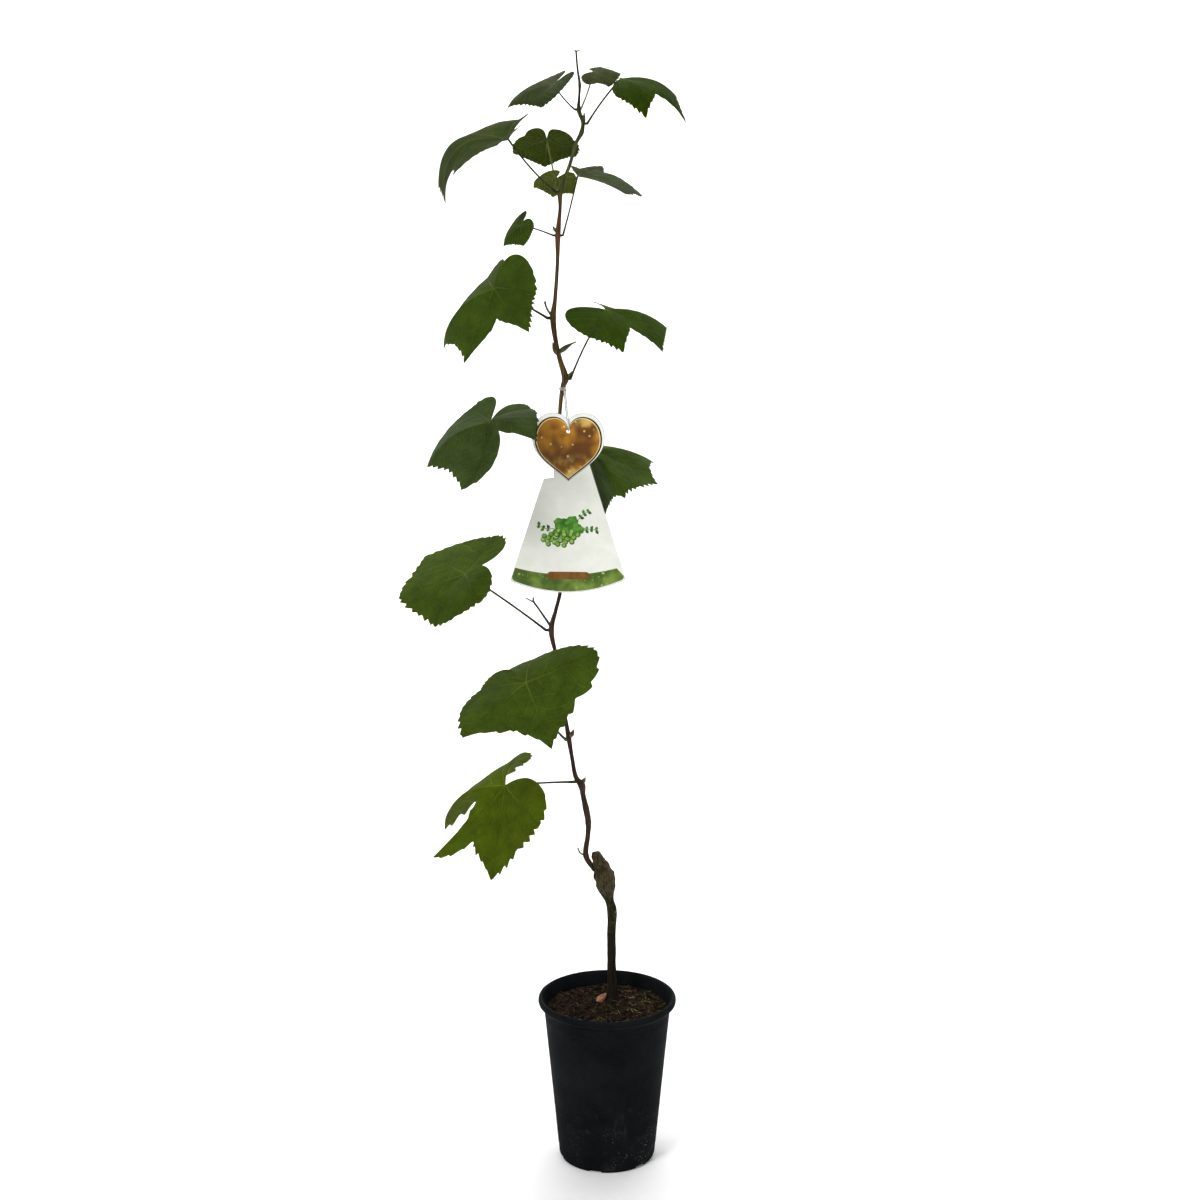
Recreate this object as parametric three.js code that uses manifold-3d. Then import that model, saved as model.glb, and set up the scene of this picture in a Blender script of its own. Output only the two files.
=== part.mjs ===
// A young grapevine in a black nursery pot: a grafted stem, one tall zigzag shoot, fifteen
// lobed leaves on thin stalks, and a hanging card tag. Millimetres, +Z up; the origin is the
// centre of the pot's flat underside, -Y is the front and +X is the right-hand side.
import * as THREE from 'three';
import { mergeVertices } from 'three/addons/utils/BufferGeometryUtils.js';
import Module from 'manifold-3d';

const wasm = await Module();
wasm.setup();

// ---------------------------------------------------------------- driving dimensions
const PLANT_TOP = 1300;
const FIT = 0.35;

const POT_HEIGHT = 203;
const POT_BASE_RADIUS = 57;
const POT_TOP_RADIUS = 76.5;
const POT_LIP_RADIUS = 82.2;
const POT_LIP_DROP = 8;
const POT_WALL = 1.8;
const POT_FLOOR = 2.5;
const POT_SIDES = 36;
const FOOT_GAPS = 6;
const FOOT_GAP_WIDTH = 14;
const FOOT_GAP_HEIGHT = 3.4;
const FOOT_GAP_TURN = -15;

const SOIL_TOP = 188;

const SHOOT_SIDES = 8;
const TRUNK_SIDES = 12;
const STALK_SIDES = 5;

const LEAF_THICKNESS = 0.014;
const LEAF_SECTORS = 28;
const SMALL_LEAF_SECTORS = 16;
const SMALL_LEAF = 60;
const TOOTH = 0.022;
const RINGS = [0.4, 0.74, 1];

const TAG_THICKNESS = 0.9;
const TAG_HOLE_RADIUS = 2;
const STRING_RADIUS = 0.7;
const STRING_STEPS = 20;
const STRING_HEIGHT = 931;

// ---------------------------------------------------------------- colours
const pot_plastic = { color: 0x15181a, roughness: 0.55, metalness: 0 };
const soil_mulch = { color: 0x2e2018, roughness: 1, metalness: 0 };
const old_bark = { color: 0x4a4138, roughness: 0.9, metalness: 0 };
const young_bark = { color: 0x4b3527, roughness: 0.7, metalness: 0 };
const leaf_green = { color: 0x456b1e, roughness: 0.6, metalness: 0 };
const card_white = { color: 0xe6e8e4, roughness: 0.5, metalness: 0 };
const string_white = { color: 0xe4e2dc, roughness: 0.8, metalness: 0 };

// ---------------------------------------------------------------- helpers
const rad = THREE.MathUtils.degToRad;

function indexed(positions, triangles) {
  const geometry = new THREE.BufferGeometry();
  geometry.setAttribute('position', new THREE.Float32BufferAttribute(positions, 3));
  geometry.setIndex(triangles);
  return geometry;
}

function toSolid(geometry) {
  const bare = geometry.clone();
  bare.deleteAttribute('normal');
  bare.deleteAttribute('uv');
  const merged = mergeVertices(bare, 1e-4);
  return new wasm.Manifold(new wasm.Mesh({
    numProp: 3,
    vertProperties: new Float32Array(merged.attributes.position.array),
    triVerts: new Uint32Array(merged.index.array),
  }));
}

function toGeometry(solid) {
  const mesh = solid.getMesh();
  const geometry = indexed(Array.from(mesh.vertProperties), Array.from(mesh.triVerts));
  geometry.computeVertexNormals();
  return geometry;
}

function union(geometries) {
  return toGeometry(geometries.map(toSolid).reduce((all, next) => all.add(next)));
}

function cut(geometry, cutters) {
  return toGeometry(cutters.map(toSolid).reduce((rest, next) => rest.subtract(next), toSolid(geometry)));
}

// A closed tube through the stations {at, radius}, its frame carried along without twist.
// lumps(angle, share) scales the radius, so a limb can be knobbly.
function limb(stations, sides, lumps = () => 1) {
  const positions = [];
  const triangles = [];
  const count = stations.length;
  const along = stations.map((_, i) => {
    const a = stations[Math.max(i - 1, 0)].at;
    const b = stations[Math.min(i + 1, count - 1)].at;
    return b.clone().sub(a).normalize();
  });
  let side = new THREE.Vector3(0, 1, 0).cross(along[0]);
  if (side.length() < 0.1) side = new THREE.Vector3(1, 0, 0);
  for (let i = 0; i < count; i++) {
    side.addScaledVector(along[i], -side.dot(along[i])).normalize();
    const other = along[i].clone().cross(side);
    for (let j = 0; j < sides; j++) {
      const angle = (2 * Math.PI * j) / sides;
      const radius = stations[i].radius * lumps(angle, i / (count - 1));
      const p = stations[i].at.clone()
        .addScaledVector(side, radius * Math.cos(angle))
        .addScaledVector(other, radius * Math.sin(angle));
      positions.push(p.x, p.y, p.z);
    }
  }
  for (let i = 0; i < count - 1; i++) {
    for (let j = 0; j < sides; j++) {
      const a = i * sides + j;
      const b = i * sides + (j + 1) % sides;
      triangles.push(a, b, b + sides, a, b + sides, a + sides);
    }
  }
  const foot = positions.length / 3;
  const tip = foot + 1;
  positions.push(...stations[0].at.toArray(), ...stations[count - 1].at.toArray());
  for (let j = 0; j < sides; j++) {
    const next = (j + 1) % sides;
    triangles.push(foot, next, j);
    triangles.push(tip, (count - 1) * sides + j, (count - 1) * sides + next);
  }
  return indexed(positions, triangles);
}

// Evenly spaced stations along a smooth curve through waypoints [x, y, z, radius].
function stationsThrough(waypoints, steps) {
  const middle = waypoints.map(([x, y, z]) => new THREE.Vector3(x, y, z));
  const sizes = waypoints.map(([, , , radius], i) => new THREE.Vector3(radius, i, 0));
  const curve = new THREE.CatmullRomCurve3(middle, false, 'centripetal');
  const radii = new THREE.CatmullRomCurve3(sizes, false, 'centripetal');
  const stations = [];
  for (let i = 0; i <= steps; i++) {
    stations.push({ at: curve.getPoint(i / steps), radius: radii.getPoint(i / steps).x });
  }
  return stations;
}

// ---------------------------------------------------------------- pot and root ball
function wallRadius(z) {
  return POT_BASE_RADIUS + (POT_TOP_RADIUS - POT_BASE_RADIUS) * (z / POT_HEIGHT);
}

function potGeometry() {
  const lip = POT_LIP_RADIUS;
  const top = POT_HEIGHT;
  const profile = [
    [0, 0], [POT_BASE_RADIUS - 5, 0], [POT_BASE_RADIUS - 1.5, 1.5], [wallRadius(6), 6],
    [wallRadius(top - 12), top - 12], [lip - 3, top - POT_LIP_DROP - 1], [lip - 0.6, top - POT_LIP_DROP],
    [lip, top - POT_LIP_DROP / 2], [lip - 1, top - 1], [lip - 3, top], [lip - 5.5, top - 1.2],
    [wallRadius(top - 12) - POT_WALL, top - 12], [wallRadius(6) - POT_WALL, 6],
    [POT_BASE_RADIUS - 5, POT_FLOOR], [0, POT_FLOOR],
  ].map(([r, z]) => new THREE.Vector2(r, z));
  return new THREE.LatheGeometry(profile, POT_SIDES).rotateX(Math.PI / 2);
}

function footGaps() {
  const gaps = [];
  for (let i = 0; i < FOOT_GAPS; i++) {
    const box = new THREE.BoxGeometry(FOOT_GAP_WIDTH, 14, 2 * FOOT_GAP_HEIGHT);
    box.translate(0, -(POT_BASE_RADIUS + 1.8), 0);
    box.rotateZ(rad(FOOT_GAP_TURN + (360 / FOOT_GAPS) * i));
    gaps.push(box);
  }
  return gaps;
}

function rootBallGeometry() {
  const inner = (z) => wallRadius(z) - POT_WALL - FIT - 0.1;
  const profile = [
    [0, POT_FLOOR + FIT], [POT_BASE_RADIUS - 7, POT_FLOOR + FIT], [inner(8), 8],
    [inner(SOIL_TOP - 4), SOIL_TOP - 4], [inner(SOIL_TOP) - 3, SOIL_TOP - 1],
    [inner(SOIL_TOP) - 12, SOIL_TOP], [0, SOIL_TOP],
  ].map(([r, z]) => new THREE.Vector2(r, z));
  return new THREE.LatheGeometry(profile, POT_SIDES).rotateX(Math.PI / 2);
}

// ---------------------------------------------------------------- stem and shoot
// [x, y, z, radius]: root flare, slim stem, bulge, neck, swollen graft and its cut stub.
const TRUNK = [
  [6.9, 25, SOIL_TOP - 6, 10], [6.8, 24, SOIL_TOP + 1, 8.6], [6.5, 23, 197, 6.7], [5.8, 22, 215, 5.3],
  [5.3, 21, 242, 5.1], [5.2, 20, 276, 5.1], [5.5, 18, 303, 5.4], [2.8, 17, 316, 5.2], [0.4, 16, 326, 7.6],
  [-1.2, 15, 337, 11.4], [-4, 14, 350, 12], [-6, 14, 359, 9.8], [-10, 13, 366, 7.2],
  [-12, 12, 374, 6.2], [-12.3, 12, 379, 4],
];

// Nodes and bends of the shoot. The radius swells at each node, where leaves and buds stand.
const SHOOT = [
  [-15, 14, 356, 3], [-25, 12, 374, 3.4], [-22.8, 11, 400, 3], [-22.2, 10, 416, 3.6],
  [-25, 9, 434, 3.8], [-28.4, 8, 451, 3.2], [-30, 7, 463, 4.4], [-36.5, 6, 473, 2.9],
  [-41.2, 5, 498, 2.4], [-44.8, 4, 521, 3], [-49.1, 2, 550, 2.1], [-52.4, 1, 580, 2],
  [-59.2, 0, 622, 2.1], [-64.4, 0, 652, 3.2], [-59, 0, 676, 2.3], [-54.2, 0, 696, 2.3],
  [-52, 1, 740, 2.2], [-54, 1, 760, 2.6], [-53.8, 1, 800, 2], [-54.4, 1, 822, 2.7],
  [-53.4, 1, 860, 2.1], [-53.8, 0, 880, 2.8], [-53.4, 0, 907, 2.3], [-50, 0, 933, 3],
  [-47.4, 0, 942, 4], [-53.2, 0, 963, 3], [-58, 0, 985, 2.8], [-60.8, 0, 1010, 3.6],
  [-58.5, 0, 1030, 2.4], [-55.5, 0, 1074, 2.2], [-55, 0, 1101, 3.2], [-52.5, 0, 1130, 2],
  [-51.8, 0, 1148, 2.7], [-48.2, 0, 1161, 2.1], [-41.9, 0, 1177, 2.1], [-34.2, 0, 1202, 2.1],
  [-28.8, 0, 1212, 2.6], [-27.2, 0, 1223, 2.2], [-31.6, 0, 1236, 2.4], [-31.2, 0, 1250, 1.4],
  [-30.6, 0, 1263, 1.6], [-33, 0, 1281, 1.2], [-34.4, 0, PLANT_TOP - 2, 1.1], [-34.5, 0, PLANT_TOP, 0.8],
];

function shootStations() {
  return stationsThrough(SHOOT, Math.round((SHOOT.length - 1) * 1.5));
}

// A point on the shoot's middle line at height z, with the limb's radius there.
function onShoot(z) {
  const stations = shootStations();
  let i = 0;
  while (i < stations.length - 2 && stations[i + 1].at.z < z) i++;
  const a = stations[i];
  const b = stations[i + 1];
  const t = THREE.MathUtils.clamp((z - a.at.z) / (b.at.z - a.at.z), 0, 1);
  return { at: a.at.clone().lerp(b.at, t), radius: a.radius + (b.radius - a.radius) * t };
}

// An egg-shaped bud whose foot is sunk in the shoot: height, side (degrees), lean and length.
const BUDS = [
  { z: 376, turn: 180, lean: 40, length: 11, width: 3.2 },
  { z: 466, turn: 20, lean: 30, length: 9, width: 5 },
  { z: 523, turn: 0, lean: 25, length: 12, width: 6 },
  { z: 942, turn: 10, lean: 30, length: 11, width: 5 },
  { z: 970, turn: 170, lean: 20, length: 16, width: 6 },
  { z: 972, turn: 0, lean: 55, length: 24, width: 5.6 },
  { z: 1014, turn: 150, lean: 30, length: 18, width: 4 },
  { z: 1105, turn: 160, lean: 35, length: 9, width: 4 },
  { z: 1222, turn: 75, lean: 20, length: 15, width: 4.4 },
];

function budGeometry({ z, turn, lean, length, width }, extra = 0) {
  const root = onShoot(z);
  const wide = width + 2 * extra;
  const bud = new THREE.SphereGeometry(0.5, 6, 5).scale(wide, wide, length + 2 * extra);
  bud.translate(0, 0, length * 0.38);
  bud.rotateY(rad(lean));
  bud.rotateZ(rad(turn));
  const out = root.radius * 0.7;
  return bud.translate(root.at.x + out * Math.cos(rad(turn)), root.at.y + out * Math.sin(rad(turn)), z);
}

// The shoot and its buds grown by the fit gap: what springs from the shoot is cut back to it.
function shootClearance() {
  const grown = shootStations().map(({ at, radius }) => ({ at, radius: radius + FIT }));
  return [limb(grown, SHOOT_SIDES), ...BUDS.map((bud) => budGeometry(bud, FIT))];
}

// The dried tendril at one node: a thin stalk that forks in two.
const TENDRIL_HEIGHT = 655;
const TENDRIL_FORK = [-84.5, -1, 686];

function tendrilGeometry() {
  const start = onShoot(TENDRIL_HEIGHT).at;
  const fork = new THREE.Vector3(...TENDRIL_FORK);
  const from = (x, z) => fork.clone().add(new THREE.Vector3(x, 0, z));
  const stalk = [
    { at: start, radius: 1.7 }, { at: start.clone().lerp(fork, 0.35), radius: 1.4 },
    { at: start.clone().lerp(fork, 0.7), radius: 1.2 }, { at: fork, radius: 1.2 },
    { at: from(-0.4, 5), radius: 0.8 },
  ];
  const arm = [
    { at: from(1, -1.5), radius: 1 }, { at: from(-3.5, 1), radius: 0.9 }, { at: from(-9, 4), radius: 0.7 },
  ];
  return cut(union([limb(stalk, 6), limb(arm, 6)]), shootClearance());
}

// ---------------------------------------------------------------- leaves
// Polar places of the five main veins round the stalk's end: right basal lobe to left basal lobe.
const LOBE_STEP = 54;
const LAST_VEIN = 2 * LOBE_STEP;
const VEIN_PLACES = [-LAST_VEIN, -LOBE_STEP, 0, LOBE_STEP, LAST_VEIN];

// Each leaf: height on the shoot, the stalk's end (junction), and for every vein its heading
// (degrees from +X towards +Y), dip below level, length and bow above a straight line.
// notch is, between two lobes, the lowest reach as a share of the veins' length, then its place
// from one vein (0) to the next (1) and how full the outline is before and after it. sinus is the
// angle that each basal lobe goes on past its vein, and how full they end there; bend is the
// stalk's bow off a straight line.
const LEAVES = [
  { name: 'leaf_01', node: 468, junction: [-118, -25, 473], stalk: 1.25, bend: [0, 0, 1],
    veins: [[72, -5, 72, 18], [141, 38, 122, 24], [198, 42, 117, -4], [257, 54, 114, 0], [299, 15, 89, 9]],
    notch: [[1, 0.45, 0.6, 1], [0.44, 0.66, -0.9, -0.2], [0.64, 0.42, 0.9, 0.25], [0.9, 0.5, 0.2, 0.5]],
    sinus: [36, 40] },
  { name: 'leaf_02', node: 521, junction: [-92, -68, 608], stalk: 1.35, bend: [0, 2, -7],
    veins: [[162, 14, 56, 2], [222, 27, 103, 2], [299, 45, 88, 5], [4, -24, 88, -2], [83, -13, 58, 6]],
    notch: [[0.99, 0.5, 0, 1], [0.68, 0.5, 0.1], [0.74, 0.5, 0, 1], [0.93, 0.5, 1]], sinus: [52, 56, 5] },
  { name: 'leaf_03', node: 652, junction: [-161, -10, 720], stalk: 1.25, bend: [0, 0, 1.5],
    veins: [[56, -30, 69, 0], [125, -3, 92, 3], [171, 22, 85, 2], [228, 45, 73, 7], [287, 15, 70, 10]],
    notch: [[0.87], [0.9, 0.5, 0, 0.5], [0.9, 0.5, 0.5], [0.93, 0.5, 0.2, 0.2]], sinus: [42, 44] },
  { name: 'leaf_04', node: 880, junction: [-130, -40, 900], stalk: 1.25, bend: [-6, 16, 0],
    veins: [[113, -6, 60, 0], [175, 37, 90, 14], [247, 41, 99, -10], [307, 7, 91, 18], [4, -17, 47, 4]],
    notch: [[0.96], [0.76, 0.5, 0.3], [0.4, 0.72, 0.8, 0.5], [0.9]], sinus: [46, 42] },
  { name: 'leaf_05', node: 822, junction: [-20, 32, 856], stalk: 1.25, bend: [0, 3, -4],
    veins: [[320, 72, 76, 4], [302, 31, 87, 6], [348, 25, 88, 4], [27, 14, 87, 9], [78, 5, 61, 3]],
    notch: [[0.86], [0.9], [0.84], [0.86]], sinus: [38, 40] },
  { name: 'leaf_06', node: 942, junction: [-2, -25, 1022], stalk: 1.1, bend: [-2, -2, 2],
    veins: [[253, 22, 64, 1], [288, 33, 74, 8], [335, 32, 82, 7], [20, 18, 77, 9], [65, 11, 48, 3]],
    notch: [[0.95], [0.54, 0.5, 0.2, 0.2], [0.9], [0.86]], sinus: [56, 60, 4] },
  { name: 'leaf_07', node: 1010, junction: [-125, -30, 1046], stalk: 1.25, bend: [0, 6, 0],
    veins: [[100, -8, 52, 2], [143, 46, 106, 19], [228, 58, 92, -2], [307, 33, 78, 5], [312, 1, 72, 5]],
    notch: [[0.78], [0.76], [0.48, 0.55, 0.3, 0.2], [0.94]], sinus: [66, 62] },
  { name: 'leaf_08', node: 1101, junction: [-95, -12, 1113], stalk: 0.9, bend: [0, 0, 1],
    veins: [[91, -28, 24, 0], [124, 14, 28, 3], [177, 50, 31, 3], [279, 54, 27, 2], [305, 5, 25, 3]],
    notch: [[1.06], [0.84], [0.82], [0.98]], sinus: [42, 37] },
  { name: 'leaf_09', node: 1101, junction: [-33, -5, 1166], stalk: 1, bend: [0.5, 0, 0],
    veins: [[277, -9, 57, 0], [319, 14, 72, 3], [14, 16, 76, 8], [63, -7, 62, 0], [100, -8, 30, 3]],
    notch: [[0.95], [0.9, 0.5, 0, 1], [0.62, 0.7, 1, 0.5], [0.96]], sinus: [24, 10] },
  { name: 'leaf_10', node: 1130, junction: [-57, 46, 1161], stalk: 0.9, bend: [0, 4, -4],
    veins: [[14, 12, 22, 1], [42, 37, 32, 3], [100, 41, 35, 2], [153, 21, 32, 3], [201, -6, 20, 1]],
    notch: [[0.95], [0.85], [0.88], [0.94]], sinus: [52, 92, 5] },
  { name: 'leaf_11', node: 1148, junction: [-108, -25, 1206], stalk: 1.1, bend: [0, 0, -4],
    veins: [[74, -26, 46, 4], [142, 26, 112, 30], [183, 45, 98, 32], [227, 23, 92, 8], [258, 5, 52, 3]],
    notch: [[0.95, 0.5, 0, 1], [0.92], [0.74], [0.78]], sinus: [46, 60, 3] },
  { name: 'leaf_12', node: 1150, junction: [-67, 22, 1204], stalk: 1, bend: [0, 6, -4],
    veins: [[348, 0, 30, 2], [39, 26, 45, 3], [95, 40, 50, 2], [148, 20, 48, 2], [186, -9, 25, 1]],
    notch: [[1], [0.87], [0.9], [1.02]], sinus: [74, 72, 3.5] },
  { name: 'leaf_13', node: 1222, junction: [13, -5, 1269], stalk: 1.05, bend: [-1, 0, 1],
    veins: [[266, 21, 50, 2], [298, 33, 72, 13], [352, 33, 88, 15], [36, 16, 80, 12], [84, 9, 52, 5]],
    notch: [[0.94], [0.57, 0.55, 0.2], [0.8], [0.7]], sinus: [16, 12] },
  { name: 'leaf_14', node: 1237, junction: [-59, -12, 1264], stalk: 0.9, bend: [0, 0, -2],
    veins: [[78, -17, 48, 0], [130, 8, 49, 5], [188, 27, 57, 6], [253, 29, 50, 4], [296, -7, 42, 1]],
    notch: [[0.89], [0.86], [0.82], [1]], sinus: [12, 38] },
  { name: 'leaf_15', node: 1237, junction: [-16, 31, 1277], stalk: 0.9, bend: [1, 1, -1],
    veins: [[255, 29, 28, 1], [315, 35, 29, 4], [7, 4, 31, 1], [70, -12, 26, 1], [108, -14, 14, 1]],
    notch: [[0.8, 0.45, 0.5], [0.95, 0.5, 0.5], [0.74], [0.85]], sinus: [36, 25] },
];

function aim(heading, dip) {
  const level = Math.cos(rad(dip));
  const turn = rad(heading);
  return new THREE.Vector3(level * Math.cos(turn), level * Math.sin(turn), -Math.sin(rad(dip)));
}

// The fan of directions that a blade is spread over: the five veins and the two sinus edges.
function fanOf(leaf) {
  const veins = leaf.veins.map(([heading, dip]) => aim(heading, dip));
  const spread = (edge, inner, angle) =>
    edge.clone().applyAxisAngle(inner.clone().cross(edge).normalize(), rad(angle));
  const first = spread(veins[0], veins[1], leaf.sinus[0]);
  const last = spread(veins[4], veins[3], leaf.sinus[1]);
  const aims = [first, ...veins, last];
  const places = [-LAST_VEIN - leaf.sinus[0], ...VEIN_PLACES, LAST_VEIN + leaf.sinus[1]];
  const ends = [leaf.veins[0], ...leaf.veins, leaf.veins[4]];
  const up = new THREE.Vector3();
  for (let i = 0; i < 4; i++) up.add(veins[i].clone().cross(veins[i + 1]));
  return { aims, places, lengths: ends.map((v) => v[2]), bows: ends.map((v) => v[3]), up: up.normalize() };
}

// The outline's reach at a polar place, as a share of the vein length there.
function reach(leaf, place) {
  const size = Math.abs(place);
  if (size > LAST_VEIN) {
    const [right, left, fullness = 2.2] = leaf.sinus;
    const past = (size - LAST_VEIN) / (place > 0 ? left : right);
    return 0.16 + 0.84 * Math.sqrt(Math.max(0, 1 - past ** fullness));
  }
  const sector = Math.min(Math.floor((place + LAST_VEIN) / LOBE_STEP), 3);
  const t = (place + LAST_VEIN) / LOBE_STEP - sector;
  const [depth, low = 0.5, before = 0, after = 0] = leaf.notch[sector];
  const lobe = t < low ? 1 - t / low : (t - low) / (1 - low);
  const full = t < low ? before : after;
  const hollow = 0.45 * lobe + 0.55 * lobe ** 4;
  const round = Math.sin((Math.PI / 2) * lobe) ** 0.7;
  return depth + (1 - depth) * (hollow + full * (round - hollow));
}

// A point on the upper face of a blade: polar place in degrees, share 0 (junction) to 1 (edge).
function onBlade(leaf, fan, place, share) {
  const { aims, places, lengths, bows, up } = fan;
  let i = 0;
  while (i < 5 && places[i + 1] < place) i++;
  const gap = places[i + 1] - places[i];
  const t = THREE.MathUtils.clamp((place - places[i]) / gap, 0, 1);
  const slope = (j) => {
    const low = Math.max(j - 1, 0);
    const high = Math.min(j + 1, 6);
    return aims[high].clone().sub(aims[low]).divideScalar(places[high] - places[low]);
  };
  const out = aims[i].clone().multiplyScalar(2 * t ** 3 - 3 * t ** 2 + 1)
    .addScaledVector(slope(i), (t ** 3 - 2 * t ** 2 + t) * gap)
    .addScaledVector(aims[i + 1], -2 * t ** 3 + 3 * t ** 2)
    .addScaledVector(slope(i + 1), (t ** 3 - t ** 2) * gap)
    .normalize();
  const length = lengths[i] * (1 - t) + lengths[i + 1] * t;
  const bow = bows[i] * (1 - t) + bows[i + 1] * t;
  return new THREE.Vector3(...leaf.junction)
    .addScaledVector(out, length * share)
    .addScaledVector(up, 4 * bow * share * (1 - share));
}

function bladeGeometry(leaf) {
  const fan = fanOf(leaf);
  const longest = Math.max(...fan.lengths);
  const sectors = longest < SMALL_LEAF ? SMALL_LEAF_SECTORS : LEAF_SECTORS;
  const thickness = Math.max(LEAF_THICKNESS * longest, 0.7);
  const start = fan.places[0];
  const span = fan.places[6] - start;
  const upper = [new THREE.Vector3(...leaf.junction)];
  for (let j = 0; j <= sectors; j++) {
    const place = start + (span * j) / sectors;
    const tooth = j > 0 && j < sectors ? (j % 2 ? -TOOTH : TOOTH) : 0;
    for (const ring of RINGS) {
      const edge = reach(leaf, place) * (ring === 1 ? 1 + tooth : 1);
      upper.push(onBlade(leaf, fan, place, ring * edge));
    }
  }
  const faces = [];
  const rows = RINGS.length;
  const at = (j, k) => 1 + j * rows + k;
  for (let j = 0; j < sectors; j++) {
    faces.push([0, at(j, 0), at(j + 1, 0)]);
    for (let k = 0; k < rows - 1; k++) {
      faces.push([at(j, k), at(j, k + 1), at(j + 1, k + 1)]);
      faces.push([at(j, k), at(j + 1, k + 1), at(j + 1, k)]);
    }
  }
  const normals = upper.map(() => new THREE.Vector3());
  for (const [a, b, c] of faces) {
    const n = upper[b].clone().sub(upper[a]).cross(upper[c].clone().sub(upper[a]));
    for (const i of [a, b, c]) normals[i].add(n);
  }
  const count = upper.length;
  const lower = upper.map((p, i) => p.clone().addScaledVector(normals[i].normalize(), -thickness));
  const rim = [0];
  for (let k = 0; k < rows; k++) rim.push(at(0, k));
  for (let j = 1; j <= sectors; j++) rim.push(at(j, rows - 1));
  for (let k = rows - 2; k >= 0; k--) rim.push(at(sectors, k));
  const triangles = [];
  for (const [a, b, c] of faces) triangles.push(a, b, c, count + a, count + c, count + b);
  rim.forEach((a, i) => {
    const b = rim[(i + 1) % rim.length];
    triangles.push(a, count + a, count + b, a, count + b, b);
  });
  return { geometry: indexed([...upper, ...lower].flatMap((p) => p.toArray()), triangles), fan, thickness };
}

// The leaf's stalk: it leaves the shoot level, and its end is sunk in the blade.
function stalkGeometry(leaf, fan, thickness) {
  const root = onShoot(leaf.node);
  const end = new THREE.Vector3(...leaf.junction).addScaledVector(fan.up, -thickness * 0.7);
  const level = end.clone().sub(root.at).setZ(0).normalize();
  const knee = root.at.clone().addScaledVector(level, root.radius + 2.5 * leaf.stalk);
  const bend = new THREE.Vector3(...leaf.bend);
  const sunk = end.clone().addScaledVector(end.clone().sub(knee).normalize(), 0.9 * thickness);
  const stations = [{ at: root.at, radius: leaf.stalk * 1.4 }, { at: knee, radius: leaf.stalk * 1.25 }];
  for (const t of [0.25, 0.5, 0.75, 1]) {
    const at = knee.clone().lerp(end, t).addScaledVector(bend, 4 * t * (1 - t));
    stations.push({ at, radius: leaf.stalk });
  }
  stations.push({ at: sunk, radius: leaf.stalk * 0.7 });
  return limb(stations, STALK_SIDES);
}

// ---------------------------------------------------------------- tag and string
const TAG_CENTRE = [-44, -10, 827];
const TAG_TURN = -3;

function tagGeometry() {
  const heart = new THREE.Shape();
  heart.moveTo(0, 0);
  heart.bezierCurveTo(14, 14, 41, 26, 41, 50);
  heart.bezierCurveTo(41, 68, 30, 78, 18, 78);
  heart.bezierCurveTo(8, 78, 2, 73, 0, 69);
  heart.bezierCurveTo(-2, 73, -8, 78, -18, 78);
  heart.bezierCurveTo(-30, 78, -41, 68, -41, 50);
  heart.bezierCurveTo(-41, 26, -14, 14, 0, 0);
  const skirt = new THREE.Shape();
  skirt.moveTo(-28, 3);
  skirt.lineTo(-66.2, -112);
  skirt.quadraticCurveTo(-67, -117, -60, -118.5);
  skirt.quadraticCurveTo(0, -140, 58, -116);
  skirt.quadraticCurveTo(65, -114, 64, -109.5);
  skirt.lineTo(23.4, 22);
  skirt.lineTo(-16, 22);
  skirt.lineTo(-17, 4);
  skirt.closePath();
  const plate = { depth: TAG_THICKNESS, bevelEnabled: false, curveSegments: 8 };
  const joined = union([new THREE.ExtrudeGeometry(heart, plate), new THREE.ExtrudeGeometry(skirt, plate)]);
  const hole = new THREE.CylinderGeometry(TAG_HOLE_RADIUS, TAG_HOLE_RADIUS, 6, 16).rotateX(Math.PI / 2);
  hole.translate(0, 57, 0);
  const tag = cut(joined, [hole]);
  return tag.rotateX(Math.PI / 2).rotateZ(rad(TAG_TURN)).translate(...TAG_CENTRE);
}

// A ring of string round the shoot, a knot at its front, and a loop that goes through the hole.
function stringGeometry() {
  const { at, radius } = onShoot(STRING_HEIGHT);
  const ringRadius = radius + FIT + STRING_RADIUS + 0.25;
  const ring = new THREE.TorusGeometry(ringRadius, STRING_RADIUS, 5, 14);
  ring.translate(at.x, at.y, STRING_HEIGHT);
  const knotAt = new THREE.Vector3(at.x + 2.5, at.y - ringRadius - 0.8, STRING_HEIGHT - 1);
  const knot = new THREE.SphereGeometry(2, 6, 5).translate(...knotAt.toArray());
  const holeAt = new THREE.Vector3(TAG_CENTRE[0], TAG_CENTRE[1], TAG_CENTRE[2] + 57);
  const slack = TAG_HOLE_RADIUS - STRING_RADIUS - FIT - 0.1;
  const path = new THREE.CatmullRomCurve3([
    knotAt.clone().add(new THREE.Vector3(0.8, 0, 0)),
    knotAt.clone().lerp(holeAt, 0.5).add(new THREE.Vector3(0.8, -2.5, 0)),
    holeAt.clone().add(new THREE.Vector3(0.9, -3.6, 5)),
    holeAt.clone().add(new THREE.Vector3(0.4, -2.6, 2)),
    holeAt.clone().add(new THREE.Vector3(0, -TAG_THICKNESS / 2, slack)),
    holeAt.clone().add(new THREE.Vector3(-0.4, 1.7, 2)),
    holeAt.clone().add(new THREE.Vector3(-0.9, 2.2, 5)),
    knotAt.clone().lerp(holeAt, 0.5).add(new THREE.Vector3(-0.8, 2.5, 0)),
    knotAt.clone().add(new THREE.Vector3(-0.8, 0, 0)),
  ], false, 'centripetal');
  const strand = path.getPoints(STRING_STEPS).map((at) => ({ at, radius: STRING_RADIUS }));
  return union([ring, knot, limb(strand, 5)]);
}

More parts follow.
